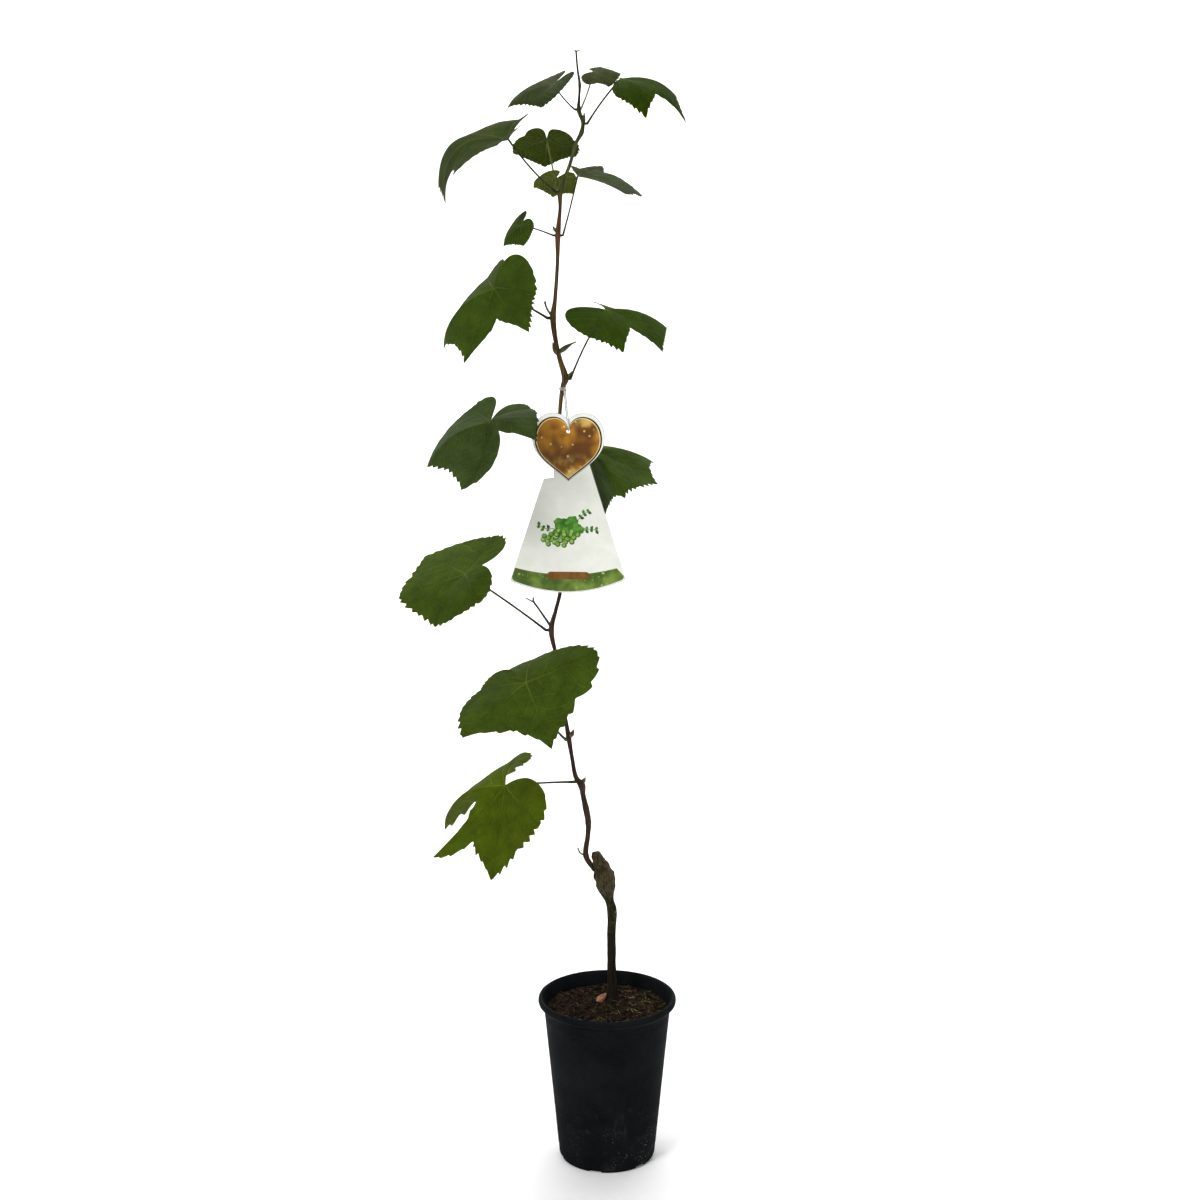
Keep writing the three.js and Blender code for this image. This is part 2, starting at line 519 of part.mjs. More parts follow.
// ---------------------------------------------------------------- assembly
const group = new THREE.Group();

function addPiece(name, geometry, look) {
  const mesh = new THREE.Mesh(geometry, new THREE.MeshStandardMaterial(look));
  mesh.name = name;
  group.add(mesh);
}

addPiece('pot', cut(potGeometry(), footGaps()), pot_plastic);
addPiece('root_ball', rootBallGeometry(), soil_mulch);

const knobbly = (angle, share) => {
  const graft = THREE.MathUtils.smoothstep(share, 0.5, 0.62);
  const ribs = (0.03 + 0.07 * graft) * Math.sin(3 * angle + 14 * share);
  return 1 + ribs + 0.05 * graft * Math.sin(2 * angle - 23 * share);
};
const trunkSolid = limb(stationsThrough(TRUNK, 22), TRUNK_SIDES, knobbly);
const shootBase = shootStations().slice(0, 5);
const backwards = shootBase[0].at.clone().sub(shootBase[1].at).normalize();
const socket = [
  { at: shootBase[0].at.clone().addScaledVector(backwards, FIT), radius: shootBase[0].radius + FIT },
  ...shootBase.map(({ at, radius }) => ({ at, radius: radius + FIT })),
];
const belowSoil = new THREE.BoxGeometry(60, 60, 40).translate(7, 24, SOIL_TOP + FIT - 20);
addPiece('trunk', cut(trunkSolid, [limb(socket, SHOOT_SIDES), belowSoil]), old_bark);
const shootParts = [limb(shootStations(), SHOOT_SIDES), ...BUDS.map((bud) => budGeometry(bud))];
addPiece('shoot', union(shootParts), young_bark);
addPiece('tendril', tendrilGeometry(), young_bark);

for (const leaf of LEAVES) {
  const { geometry, fan, thickness } = bladeGeometry(leaf);
  const whole = union([geometry, stalkGeometry(leaf, fan, thickness)]);
  addPiece(leaf.name, cut(whole, shootClearance()), leaf_green);
}

addPiece('tag', tagGeometry(), card_white);
addPiece('tag_string', stringGeometry(), string_white);

export default group;
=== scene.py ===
"""A young grapevine in a black nursery pot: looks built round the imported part.

Lengths are metres. The tables of the trunk, the shoot and the leaves repeat the part's own named
sizes in millimetres, and MM turns them into metres.
"""
import math
import random

import bpy
import numpy as np
from mathutils import Matrix, Vector


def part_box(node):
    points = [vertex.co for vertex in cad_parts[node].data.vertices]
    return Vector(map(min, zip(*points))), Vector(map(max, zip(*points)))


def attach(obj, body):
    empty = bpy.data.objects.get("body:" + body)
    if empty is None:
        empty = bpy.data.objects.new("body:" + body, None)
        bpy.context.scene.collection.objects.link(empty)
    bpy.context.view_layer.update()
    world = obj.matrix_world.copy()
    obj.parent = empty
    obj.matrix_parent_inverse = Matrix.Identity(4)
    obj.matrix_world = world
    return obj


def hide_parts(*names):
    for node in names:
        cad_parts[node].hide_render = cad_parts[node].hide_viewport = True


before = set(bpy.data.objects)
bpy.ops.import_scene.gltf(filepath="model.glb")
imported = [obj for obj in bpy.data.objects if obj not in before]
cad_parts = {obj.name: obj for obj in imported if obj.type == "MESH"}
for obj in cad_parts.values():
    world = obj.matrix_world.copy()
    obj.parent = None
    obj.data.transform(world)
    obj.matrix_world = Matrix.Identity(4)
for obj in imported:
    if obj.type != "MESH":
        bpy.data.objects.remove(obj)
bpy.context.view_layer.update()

MM = 0.001
BODY = "root"
pot_low, pot_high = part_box("pot")
SOIL_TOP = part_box("root_ball")[1].z
PLANT_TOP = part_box("shoot")[1].z
POT_HEIGHT = pot_high.z
POT_LIP_RADIUS = (pot_high.x - pot_low.x) / 2
POT_BASE_RADIUS = 57 * MM
POT_TOP_RADIUS = 76.5 * MM
POT_WALL = 1.8 * MM


# ---------------------------------------------------------------- colours and node helpers
def srgb(r, g, b):
    """A display colour given as 0 to 255, in the linear values that shaders take."""
    shares = [c / 255 for c in (r, g, b)]
    return (*[c / 12.92 if c <= 0.04045 else ((c + 0.055) / 1.055) ** 2.4 for c in shares], 1.0)


class Field:
    """A number that shader nodes work out. Arithmetic on it adds nodes to its look."""

    def __init__(self, look, socket):
        self.look = look
        self.socket = socket

    def __add__(self, other):
        return self.look.math("ADD", self, other)

    def __sub__(self, other):
        return self.look.math("SUBTRACT", self, other)

    def __mul__(self, other):
        return self.look.math("MULTIPLY", self, other)

    def __truediv__(self, other):
        return self.look.math("DIVIDE", self, other)


class Look:
    """A material under construction: short calls that add and join nodes."""

    def __init__(self, name, roughness=0.6, specular=0.5):
        self.material = bpy.data.materials.new(name)
        self.material.use_nodes = True
        self.tree = self.material.node_tree
        self.shader = self.tree.nodes["Principled BSDF"]
        self.shader.inputs["Roughness"].default_value = roughness
        self.shader.inputs["Specular IOR Level"].default_value = specular

    def feed(self, socket, value):
        """Joins or sets an input. A tuple is a display colour."""
        if isinstance(value, Field):
            value = value.socket
        if isinstance(value, bpy.types.NodeSocket):
            self.tree.links.new(value, socket)
        elif isinstance(value, tuple):
            socket.default_value = srgb(*value)
        else:
            socket.default_value = value

    def node(self, kind, inputs=(), **settings):
        made = self.tree.nodes.new(kind)
        for key, value in settings.items():
            setattr(made, key, value)
        for key, value in dict(inputs).items():
            self.feed(made.inputs[key], value)
        return made

    def math(self, operation, a, b=0.0, clamp=False):
        made = self.node("ShaderNodeMath", {0: a, 1: b}, operation=operation, use_clamp=clamp)
        return Field(self, made.outputs[0])

    def ramp(self, value, low, high, start=0.0, end=1.0):
        keys = ("Value", "From Min", "From Max", "To Min", "To Max")
        inputs = zip(keys, (value, low, high, start, end))
        made = self.node("ShaderNodeMapRange", inputs, interpolation_type="SMOOTHSTEP")
        return Field(self, made.outputs["Result"])

    def mix(self, share, a, b):
        return self.node("ShaderNodeMix", {0: share, 6: a, 7: b}, data_type="RGBA").outputs[2]

    def blend(self, value, low, high, a, b):
        """Colour a where the value is at low, colour b where it is at high."""
        return self.mix(self.ramp(value, low, high), a, b)

    def paint(self, value, dark, light, low=0.35, high=0.65):
        self.colour(self.blend(value, low, high, dark, light))

    def place(self, stretch=1.0):
        """Object coordinates. A stretch below 1 draws a grain out along Z."""
        spot = self.node("ShaderNodeTexCoord").outputs["Object"]
        made = self.node("ShaderNodeMapping", {"Vector": spot})
        made.inputs["Scale"].default_value = (1, 1, stretch)
        return made.outputs["Vector"]

    def axes(self, vector):
        parts = self.node("ShaderNodeSeparateXYZ", {0: vector}).outputs
        return [Field(self, parts[axis]) for axis in "XYZ"]

    def noise(self, vector, scale, detail=4.0, roughness=0.55, distortion=0.0):
        inputs = {"Vector": vector, "Scale": scale, "Detail": detail}
        inputs.update(Roughness=roughness, Distortion=distortion)
        return Field(self, self.node("ShaderNodeTexNoise", inputs).outputs["Fac"])

    def cells(self, vector, scale, feature="F1"):
        made = self.node("ShaderNodeTexVoronoi", feature=feature)
        self.feed(made.inputs["Vector"], vector)
        self.feed(made.inputs["Scale"], scale)
        return Field(self, made.outputs["Distance"])

    def bump(self, height, distance, strength=1.0):
        inputs = {"Distance": distance, "Strength": strength, "Height": height}
        normal = self.node("ShaderNodeBump", inputs).outputs["Normal"]
        self.feed(self.shader.inputs["Normal"], normal)
        return normal

    def colour(self, value):
        self.feed(self.shader.inputs["Base Color"], value)


# ---------------------------------------------------------------- mesh helpers
def adopt(name, mesh, replaces=()):
    """Makes an object of the mesh that rides on the part's one body."""
    made = bpy.data.objects.new(name, mesh)
    bpy.context.scene.collection.objects.link(made)
    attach(made, BODY)
    if replaces:
        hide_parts(*replaces)
    return made


def piece(name, points, faces, materials, replaces=(), slot=None, smooth=True, face_slots=None):
    mesh = bpy.data.meshes.new(name)
    mesh.from_pydata([tuple(p) for p in points], [], [tuple(int(i) for i in f) for f in faces])
    for material in materials:
        mesh.materials.append(material)
    if face_slots is not None:
        mesh.polygons.foreach_set("material_index", np.asarray(face_slots, dtype=np.int32))
    mesh.polygons.foreach_set("use_smooth", [smooth] * len(mesh.polygons))
    mesh.update()
    return adopt(name, mesh, replaces)


class Soup:
    """Points and faces of many small shapes that end up in one piece."""

    def __init__(self):
        self.points = []
        self.faces = []
        self.slots = []

    def add(self, points, faces, slot=0):
        start = len(self.points)
        self.points.extend([tuple(p) for p in points])
        self.faces.extend([tuple(start + i for i in f) for f in faces])
        self.slots.extend([slot] * len(faces))

    def piece(self, name, materials, **more):
        return piece(name, self.points, self.faces, materials, face_slots=self.slots, **more)


def spline(waypoints, count):
    """Centripetal Catmull-Rom curve through rows of numbers, evenly shared between the rows."""
    rows = np.asarray(waypoints, dtype=float)
    ends = [2 * rows[0] - rows[1], *rows, 2 * rows[-1] - rows[-2]]
    made = []
    for k in range(count + 1):
        where = (len(rows) - 1) * k / count
        i = min(int(where), len(rows) - 2)
        t = where - i
        p0, p1, p2, p3 = ends[i:i + 4]
        steps = (p1 - p0, p2 - p1, p3 - p2)
        d0, d1, d2 = (max(np.linalg.norm(step) ** 0.5, 1e-4) for step in steps)
        out = ((p1 - p0) / d0 - (p2 - p0) / (d0 + d1) + (p2 - p1) / d1) * d1
        into = ((p2 - p1) / d1 - (p3 - p1) / (d1 + d2) + (p3 - p2) / d2) * d1
        square = 3 * (p2 - p1) - 2 * out - into
        cube = 2 * (p1 - p2) + out + into
        made.append(p1 + out * t + square * t ** 2 + cube * t ** 3)
    return np.array(made)


def limb_stations(waypoints, count):
    """Centres and radii along a limb of rows [x, y, z, radius] in millimetres."""
    rows = np.asarray(waypoints, dtype=float)
    middle = spline(rows[:, :3], count) * MM
    radii = spline(np.column_stack([rows[:, 3], np.arange(len(rows))]), count)[:, 0] * MM
    return middle, radii


def turned(turn, lean):
    """A lean towards X and then a turn about Z, in radians."""
    return Matrix.Rotation(turn, 3, "Z") @ Matrix.Rotation(lean, 3, "Y")


def bands(rings, sides, first=0):
    """Quads between rings of points that follow each other from the first point on."""
    made = []
    for i in range(rings - 1):
        for j in range(sides):
            a = first + i * sides + j
            b = first + i * sides + (j + 1) % sides
            made.append((a, b, b + sides, a + sides))
    return made


def caps(sides, first, last, foot, head):
    """Fans that close the rings of points from first and from last on the points foot and head."""
    made = []
    for j in range(sides):
        following = (j + 1) % sides
        made.append((foot, first + following, first + j))
        made.append((head, last + j, last + following))
    return made


def tube(middle, radii, sides, relief=None):
    """A closed tube. relief(angle, share, z) gives what to add to the radius, in metres."""
    middle = np.asarray(middle, dtype=float)
    count = len(middle)
    along = np.gradient(middle, axis=0)
    along /= np.linalg.norm(along, axis=1)[:, None]
    side = np.cross([0.0, 1.0, 0.0], along[0])
    if np.linalg.norm(side) < 0.1:
        side = np.array([1.0, 0.0, 0.0])
    angles = np.arange(sides) * 2 * math.pi / sides
    cosines, sines = np.cos(angles)[:, None], np.sin(angles)[:, None]
    points = []
    for i in range(count):
        side = side - along[i] * side.dot(along[i])
        side /= np.linalg.norm(side)
        other = np.cross(along[i], side)
        radius = np.full(sides, float(radii[i]))
        if relief:
            radius = radius + relief(angles, i / (count - 1), middle[i][2])
        points.extend(middle[i] + radius[:, None] * (cosines * side + sines * other))
    foot = len(points)
    points.extend([middle[0], middle[-1]])
    return points, bands(count, sides) + caps(sides, 0, foot - sides, foot, foot + 1)


def lathe(profile, segments, shape):
    """A closed turned form about Z. The profile of (radius, height) starts and ends on the axis, and
    shape(radius, height, angle) gives each point's own radius and height."""
    rings = profile[1:-1]
    points = [(0, 0, profile[0][1])]
    for radius, height in rings:
        for j in range(segments):
            angle = 2 * math.pi * j / segments
            r, z = shape(radius, height, angle)
            points.append((r * math.cos(angle), r * math.sin(angle), z))
    points.append((0, 0, profile[-1][1]))
    head = len(points) - 1
    return points, bands(len(rings), segments, 1) + caps(segments, 1, head - segments, 0, head)


def smoothstep(low, high, value):
    t = np.clip((value - low) / (high - low), 0, 1)
    return t * t * (3 - 2 * t)


def bumps(points, scale, seed, octaves=3):
    """Smooth numbers from -1 to 1 over space, from a few sines turned by a seeded draw."""
    draw = np.random.default_rng(seed)
    points = np.asarray(points, dtype=float)
    total = np.zeros(len(points))
    size = 1.0
    for octave in range(octaves):
        for _ in range(4):
            direction = draw.normal(size=3)
            direction /= np.linalg.norm(direction)
            phase = draw.uniform(0, 2 * math.pi)
            total += size * np.sin(points @ direction * scale * 2 ** octave + phase) / 4
        size *= 0.5
    return total


# ---------------------------------------------------------------- pot
FOOT_GAPS = 6
FOOT_GAP_WIDTH = 14 * MM
FOOT_GAP_HEIGHT = 3.4 * MM
FOOT_GAP_TURN = math.radians(-15)
RING_LINES = (0.33, 0.885)
FOOT_STEP = 17 * MM


def pot_plastic_look():
    look = Look("black_pot_plastic", roughness=0.5, specular=0.015)
    spot = look.place()
    x, _, z = look.axes(spot)
    low = look.ramp(z, 0.105, 0.03)
    dust = look.noise(spot, 60, detail=8, roughness=0.7)
    streaks = look.noise(look.place(0.12), 90, detail=5)
    grain = look.noise(spot, 420, detail=4, roughness=0.8)
    base = look.blend(look.noise(spot, 16, detail=3), 0.35, 0.7, (13, 15, 17), (20, 22, 24))
    base = look.mix(look.ramp(grain, 0.5, 0.75) * 0.5, base, (34, 37, 38))
    base = look.mix(look.ramp(dust, 0.52, 0.75) * (low * 0.3 + 0.06), base, (60, 58, 52))
    base = look.mix(look.ramp(streaks, 0.62, 0.74) * (low * 0.2 + 0.03), base, (70, 70, 68))
    # Specks of compost cling near the foot, most of them on the +X side.
    side = look.ramp(x, -0.01, 0.05) + 0.25
    specks = look.ramp(look.cells(spot, 260), 0.2, 0.12) * look.ramp(look.noise(spot, 34), 0.52, 0.6)
    look.colour(look.mix(specks * side * low * 0.8, base, (120, 114, 98)))
    look.feed(look.shader.inputs["Roughness"], dust * 0.22 + low * 0.12 + 0.5)
    look.bump(grain + streaks * 0.6, 0.0002, 0.8)
    return look.material


def pot_profile():
    """Rows of (radius, height) from the underside's middle up the outside and down the inside."""
    top, foot, step, soil = (size / MM for size in (POT_HEIGHT, POT_BASE_RADIUS, FOOT_STEP, SOIL_TOP))
    thick = POT_WALL / MM
    lip = POT_LIP_RADIUS / MM - 0.1

    def wall(z):
        return foot + (POT_TOP_RADIUS / MM - foot) * z / top

    rows = [(0, 0), (25, 0), (foot - 5, 0), (foot - 4.6, 0), (foot - 2.2, 0.1), (foot - 1.2, 0.9)]
    rows += [(foot - 0.5, 2.4), (wall(5), 5), (wall(9), 9)]
    rows += [(wall(step) - 0.1, step), (wall(step) + 0.3, step + 0.8)]
    for share in RING_LINES:
        z = share * top
        rows += [(wall(z - 8), z - 8), (wall(z - 1), z - 1), (wall(z) + 0.12, z - 0.3)]
        rows += [(wall(z) + 0.12, z + 0.3), (wall(z + 1), z + 1), (wall(z + 8), z + 8)]
    rows += [(wall(top - 12), top - 13), (wall(top) + 0.3, top - 10.5)]
    # The lip's round, as steps in from its widest radius and down from its top.
    steps = [(3.6, 9.2), (1.6, 8.4), (0.5, 7.2), (0, 5), (0.2, 2.8)]
    steps += [(1, 1), (2.2, 0.15), (3.4, 0), (4.6, 0.6), (5.6, 2)]
    rows += [(lip - inward, top - down) for inward, down in steps]
    rows += [(wall(top - 8) - 0.4, top - 6), (wall(top - 12) - thick, top - 12)]
    rows += [(wall(soil - 20) - thick, soil - 20), (foot - 4, 4), (0, 3)]
    return [(radius * MM, height * MM) for radius, height in rows]


def make_pot():
    """A turned pot that is a little out of round, with shallow gaps in the rim that it stands on."""
    step = 2 * math.pi / FOOT_GAPS
    half = FOOT_GAP_WIDTH / 2 / POT_BASE_RADIUS

    def shape(radius, height, angle):
        off_middle = abs((angle + math.pi / 2 - FOOT_GAP_TURN + step / 2) % step - step / 2)
        inside = float(1 - smoothstep(half - 0.03, half + 0.03, off_middle))
        on_foot = radius > POT_BASE_RADIUS - 4.8 * MM and height < 4 * MM
        if on_foot:
            height = max(height, inside * FOOT_GAP_HEIGHT + height * 0.3)
        wobble = 1 + 0.002 * math.sin(2 * angle + 0.7) * height / POT_HEIGHT
        return radius * min(wobble, 1.0), height

    points, faces = lathe(pot_profile(), 240, shape)
    return piece("nursery_pot", points, faces, [pot_plastic_look()], ["pot"], "pot_plastic")


# ---------------------------------------------------------------- compost
def bark_look(name, dark, light):
    look = Look(name, roughness=0.95, specular=0.08)
    spot = look.place()
    look.paint(look.noise(spot, 140, detail=6, roughness=0.7), dark, light, 0.32, 0.68)
    look.bump(look.noise(spot, 560, detail=4, roughness=0.7), 0.0006, 0.8)
    return look.material


def soil_height(x, y):
    """The compost's surface: low at the wall, and a little raised round the trunk's foot."""
    radius = math.hypot(x, y)
    near_trunk = math.hypot(x - TRUNK[0][0] * MM, y - TRUNK[0][1] * MM)
    edge = float(smoothstep(0.056, 0.072, radius)) * 1.5 * MM
    mound = 1.5 * MM * math.exp(-((near_trunk / 0.02) ** 2))
    return SOIL_TOP - 0.5 * MM - edge + mound


# Tone, dark and light colours, count, length and width in millimetres, and the heap's middle and
# spread in radians.
CHIPS = (
    ("dark", (15, 11, 6), (34, 25, 16), 620, 9, 3.0, 0, math.pi),
    ("brown", (28, 20, 12), (60, 45, 29), 260, 8, 1.8, 0, math.pi),
    ("red", (40, 23, 13), (76, 47, 30), 70, 7, 2.0, 0, math.pi),
    ("tan", (64, 54, 32), (112, 96, 60), 150, 9, 0.6, 0, math.pi),
    ("fibre", (82, 76, 44), (140, 128, 84), 110, 14, 0.5, -0.3, 1.6),
)


def make_compost():
    """The crumbly surface and, over it, loose bark chips and fibres."""
    rings, spokes = 44, 120
    reach = POT_TOP_RADIUS - POT_WALL - 1.2 * MM
    points = [(0, 0, soil_height(0, 0))]
    for i in range(1, rings + 1):
        for j in range(spokes):
            radius = reach * i / rings
            angle = 2 * math.pi * j / spokes
            points.append((radius * math.cos(angle), radius * math.sin(angle), 0))
    points = np.array(points)
    rough = bumps(points, 700, 5, 3)
    for k, (x, y, _) in enumerate(points):
        points[k, 2] = soil_height(x, y) + 1.1 * MM * rough[k]
    bottom = SOIL_TOP - 30 * MM
    faces = [(0, 1 + j, 1 + (j + 1) % spokes) for j in range(spokes)]
    faces += [(a, d, c, b) for a, b, c, d in bands(rings, spokes, 1)]
    rim = 1 + (rings - 1) * spokes
    below = len(points)
    lower = [(x * 0.98, y * 0.98, bottom) for x, y, _ in points[rim:rim + spokes]]
    for j in range(spokes):
        following = (j + 1) % spokes
        faces.append((rim + j, below + j, below + following, rim + following))
        faces.append((below + j, below + spokes, below + following))
    surface = bark_look("compost_dark", (13, 9, 5), (28, 20, 13))
    piece("compost", [*points, *lower, (0, 0, bottom)], faces, [surface], ["root_ball"], "bark_compost")

    draw = random.Random(11)
    for tone, shade, light, count, length, width, heap, spread in CHIPS:
        soup = Soup()
        for _ in range(count):
            radius = (reach - 5 * MM) * math.sqrt(draw.random())
            angle = heap + draw.uniform(-spread, spread)
            x, y = radius * math.cos(angle), radius * math.sin(angle)
            long = length * MM * draw.uniform(0.35, 1.3)
            wide = width * MM * draw.uniform(0.4, 1.3)
            spin = turned(draw.uniform(0, 2 * math.pi), draw.gauss(0, 0.28))
            spin = spin @ Matrix.Rotation(draw.gauss(0, 0.4), 3, "X")
            centre = Vector((x, y, soil_height(x, y) + draw.uniform(0.3, 2.4) * MM))
            add_chip(soup, draw, centre, spin, long, wide, wide * draw.uniform(0.25, 0.6))
        look = bark_look(f"bark_{tone}", shade, light)
        soup.piece(f"bark_chips_{tone}", [look], slot="bark_compost", smooth=False)
    soup = Soup()
    centre = Vector((-7 * MM, 17 * MM, SOIL_TOP + 5 * MM))
    add_chip(soup, draw, centre, turned(0.5, -0.5), 15 * MM, 10 * MM, 3 * MM)
    pink = bark_look("bark_pink", (112, 74, 58), (150, 108, 88))
    soup.piece("bark_chip_large", [pink], slot="bark_compost", smooth=False)


def add_chip(soup, draw, centre, spin, long, wide, thick):
    """An uneven splinter: two end rings of four corners and two wider ones between them."""
    points = []
    sag = draw.uniform(-0.5, 0.5) * thick
    for step, swell in ((-0.5, 0.35), (-0.2, 1.0), (0.15, 0.9), (0.5, 0.3)):
        for u, v in ((-0.5, -0.5), (0.5, -0.5), (0.5, 0.5), (-0.5, 0.5)):
            across = u * wide * swell * draw.uniform(0.7, 1.2)
            rise = v * thick * swell + sag * (1 - 4 * step * step)
            points.append(centre + spin @ Vector((step * long, across, rise)))
    soup.add(points, [(3, 2, 1, 0), (12, 13, 14, 15)] + bands(4, 4))


# ---------------------------------------------------------------- trunk and shoot
# Rows of x, y, z and radius in millimetres, as the part's own.
TRUNK = [
    (6.9, 25, 182, 10), (6.8, 24, 189, 8.6), (6.5, 23, 197, 6.7), (5.8, 22, 215, 5.3),
    (5.3, 21, 242, 5.1), (5.2, 20, 276, 5.1), (5.5, 18, 303, 5.4), (2.8, 17, 316, 5.2),
    (0.4, 16, 326, 7.6), (-1.2, 15, 337, 11.4), (-4, 14, 350, 12), (-6, 14, 359, 9.8),
    (-10, 13, 366, 7.2), (-12, 12, 374, 6.2), (-12.3, 12, 379, 4),
]
SHOOT = [
    (-15, 14, 356, 3), (-25, 12, 374, 3.4), (-22.8, 11, 400, 3), (-22.2, 10, 416, 3.6),
    (-25, 9, 434, 3.8), (-28.4, 8, 451, 3.2), (-30, 7, 463, 4.4), (-36.5, 6, 473, 2.9),
    (-41.2, 5, 498, 2.4), (-44.8, 4, 521, 3), (-49.1, 2, 550, 2.1), (-52.4, 1, 580, 2),
    (-59.2, 0, 622, 2.1), (-64.4, 0, 652, 3.2), (-59, 0, 676, 2.3), (-54.2, 0, 696, 2.3),
    (-52, 1, 740, 2.2),
    (-54, 1, 760, 2.6), (-53.8, 1, 800, 2), (-54.4, 1, 822, 2.7), (-53.4, 1, 860, 2.1),
    (-53.8, 0, 880, 2.8), (-53.4, 0, 907, 2.3), (-50, 0, 933, 3), (-47.4, 0, 942, 4), (-53.2, 0, 963, 3),
    (-58, 0, 985, 2.8), (-60.8, 0, 1010, 3.6), (-58.5, 0, 1030, 2.4), (-55.5, 0, 1074, 2.2),
    (-55, 0, 1101, 3.2), (-52.5, 0, 1130, 2), (-51.8, 0, 1148, 2.7), (-48.2, 0, 1161, 2.1),
    (-41.9, 0, 1177, 2.1), (-34.2, 0, 1202, 2.1), (-28.8, 0, 1212, 2.6), (-27.2, 0, 1223, 2.2),
    (-31.6, 0, 1236, 2.4), (-31.2, 0, 1250, 1.4), (-30.6, 0, 1263, 1.6), (-33, 0, 1281, 1.2),
    (-34.4, 0, 1298, 1.1), (-34.5, 0, 1300, 0.8),
]
NODE_HEIGHTS = (374, 416, 434, 463, 521, 652, 760, 822, 880, 942, 1010, 1101, 1148, 1212, 1236, 1263)
shoot_middle, shoot_radii = limb_stations(SHOOT, 8 * (len(SHOOT) - 1))


def on_shoot(height):
    """The shoot's middle point and radius at a height in metres."""
    z = shoot_middle[:, 2]
    where = np.interp(height, z, np.arange(len(z)))
    i = min(int(where), len(z) - 2)
    t = where - i
    middle = shoot_middle[i] * (1 - t) + shoot_middle[i + 1] * t
    return middle, shoot_radii[i] * (1 - t) + shoot_radii[i + 1] * t


# Heights in metres over which each tone of young bark takes over, and its dark and light colours.
BARK_ZONES = (
    (0.72, 0.86, (58, 44, 22), (108, 84, 44)),
    (1.06, 1.10, (72, 42, 26), (106, 68, 42)),
    (1.135, 1.16, (58, 66, 28), (92, 99, 50)),
    (1.23, 1.25, (30, 30, 14), (48, 48, 26)),
)
# Heights in metres over which the stem turns into the knobby graft.
GRAFT_START = (0.318, 0.334)


def young_bark_look():
    """Dark red-brown at the foot, green-brown half way, and fresh green near the tip, with fine ribs."""
    look = Look("young_bark", roughness=0.55, specular=0.2)
    spot = look.place()
    height = look.axes(spot)[2] + (look.noise(spot, 22) - 0.5) * 0.08
    streak = look.noise(look.place(0.06), 420, detail=3)
    fibre = look.ramp(streak, 0.35, 0.7)
    base = look.mix(fibre, (36, 23, 14), (70, 46, 28))
    for start, end, dark, light in BARK_ZONES:
        base = look.blend(height, start, end, base, look.mix(fibre, dark, light))
    look.colour(base)
    look.bump(streak, 0.0005, 0.6)
    return look.material


def old_bark_look():
    """Smooth dark waxed stem near the soil, and fibrous grey-green-brown bark with lichen above it."""
    look = Look("old_bark", roughness=0.8, specular=0.12)
    spot = look.place()
    z = look.axes(spot)[2]
    fibre = look.noise(look.place(0.16), 330, detail=8, roughness=0.75, distortion=0.4)
    crust = look.noise(spot, 170, detail=6, roughness=0.7)
    waxed = look.blend(fibre, 0.3, 0.7, (17, 13, 8), (42, 34, 24))
    bark = look.blend(fibre, 0.34, 0.66, (18, 17, 8), (52, 49, 28))
    graft = look.blend(fibre, 0.34, 0.66, (34, 30, 19), (86, 78, 54))
    bark = look.blend(z, *GRAFT_START, bark, graft)
    bark = look.blend(crust, 0.54, 0.68, bark, (92, 82, 58))
    bark = look.blend(look.noise(spot, 90, detail=2), 0.62, 0.74, bark, (52, 58, 36))
    look.colour(look.blend(z + crust * 0.004, 0.276, 0.28, waxed, bark))
    look.bump(fibre + crust * 0.7, 0.0012, 0.9)
    return look.material


def make_trunk(material):
    middle, radii = limb_stations(TRUNK, 220)

    def relief(angle, share, z):
        graft = smoothstep(*GRAFT_START, z)
        ropy = 0.22 * np.sin(7 * angle + 180 * z) + 0.16 * np.sin(13 * angle - 95 * z)
        knobs = 0.9 * np.sin(3 * angle + 260 * z) + 0.7 * np.sin(2 * angle - 410 * z)
        knobs += 0.5 * np.sin(5 * angle + 700 * z)
        bulge = 0.8 * math.exp(-((z - 0.303) / 0.008) ** 2) * np.maximum(np.cos(angle - 0.4), 0)
        return MM * (ropy * smoothstep(0.19, 0.2, z) * (1 + graft) + knobs * 0.75 * graft + bulge)

    points, faces = tube(middle, radii, 48, relief)
    piece("rootstock", points, faces, [material], ["trunk"], "old_bark")


def make_shoot(material):
    nodes = np.array(NODE_HEIGHTS) * MM

    def relief(angle, share, z):
        collar = np.exp(-((z - nodes) / 0.0022) ** 2).sum() * 0.25 * MM
        ribs = 0.07 * MM * np.sin(8 * angle + 4 * z)
        return collar + ribs * (1 if z < 1.15 else 0.4)

    middle, radii = limb_stations(SHOOT, 14 * (len(SHOOT) - 1))
    points, faces = tube(middle, radii * 0.97, 26, relief)
    piece("main_shoot", points, faces, [material], ["shoot"], "young_bark")


# Buds and bracts: height, side and lean in degrees, length and width in millimetres, and the look.
BUDS = [
    (376, 180, 40, 11, 3.2, "spur"), (466, 20, 30, 9, 5, "bud"), (523, 0, 25, 12, 6, "bud"),
    (942, 10, 30, 11, 5, "bud"), (970, 170, 20, 16, 6, "bud"), (972, 0, 55, 24, 5.6, "bract"),
    (1014, 150, 30, 18, 4, "spur"), (1105, 160, 35, 9, 4, "bud"), (1222, 75, 20, 15, 4.4, "bud"),
]


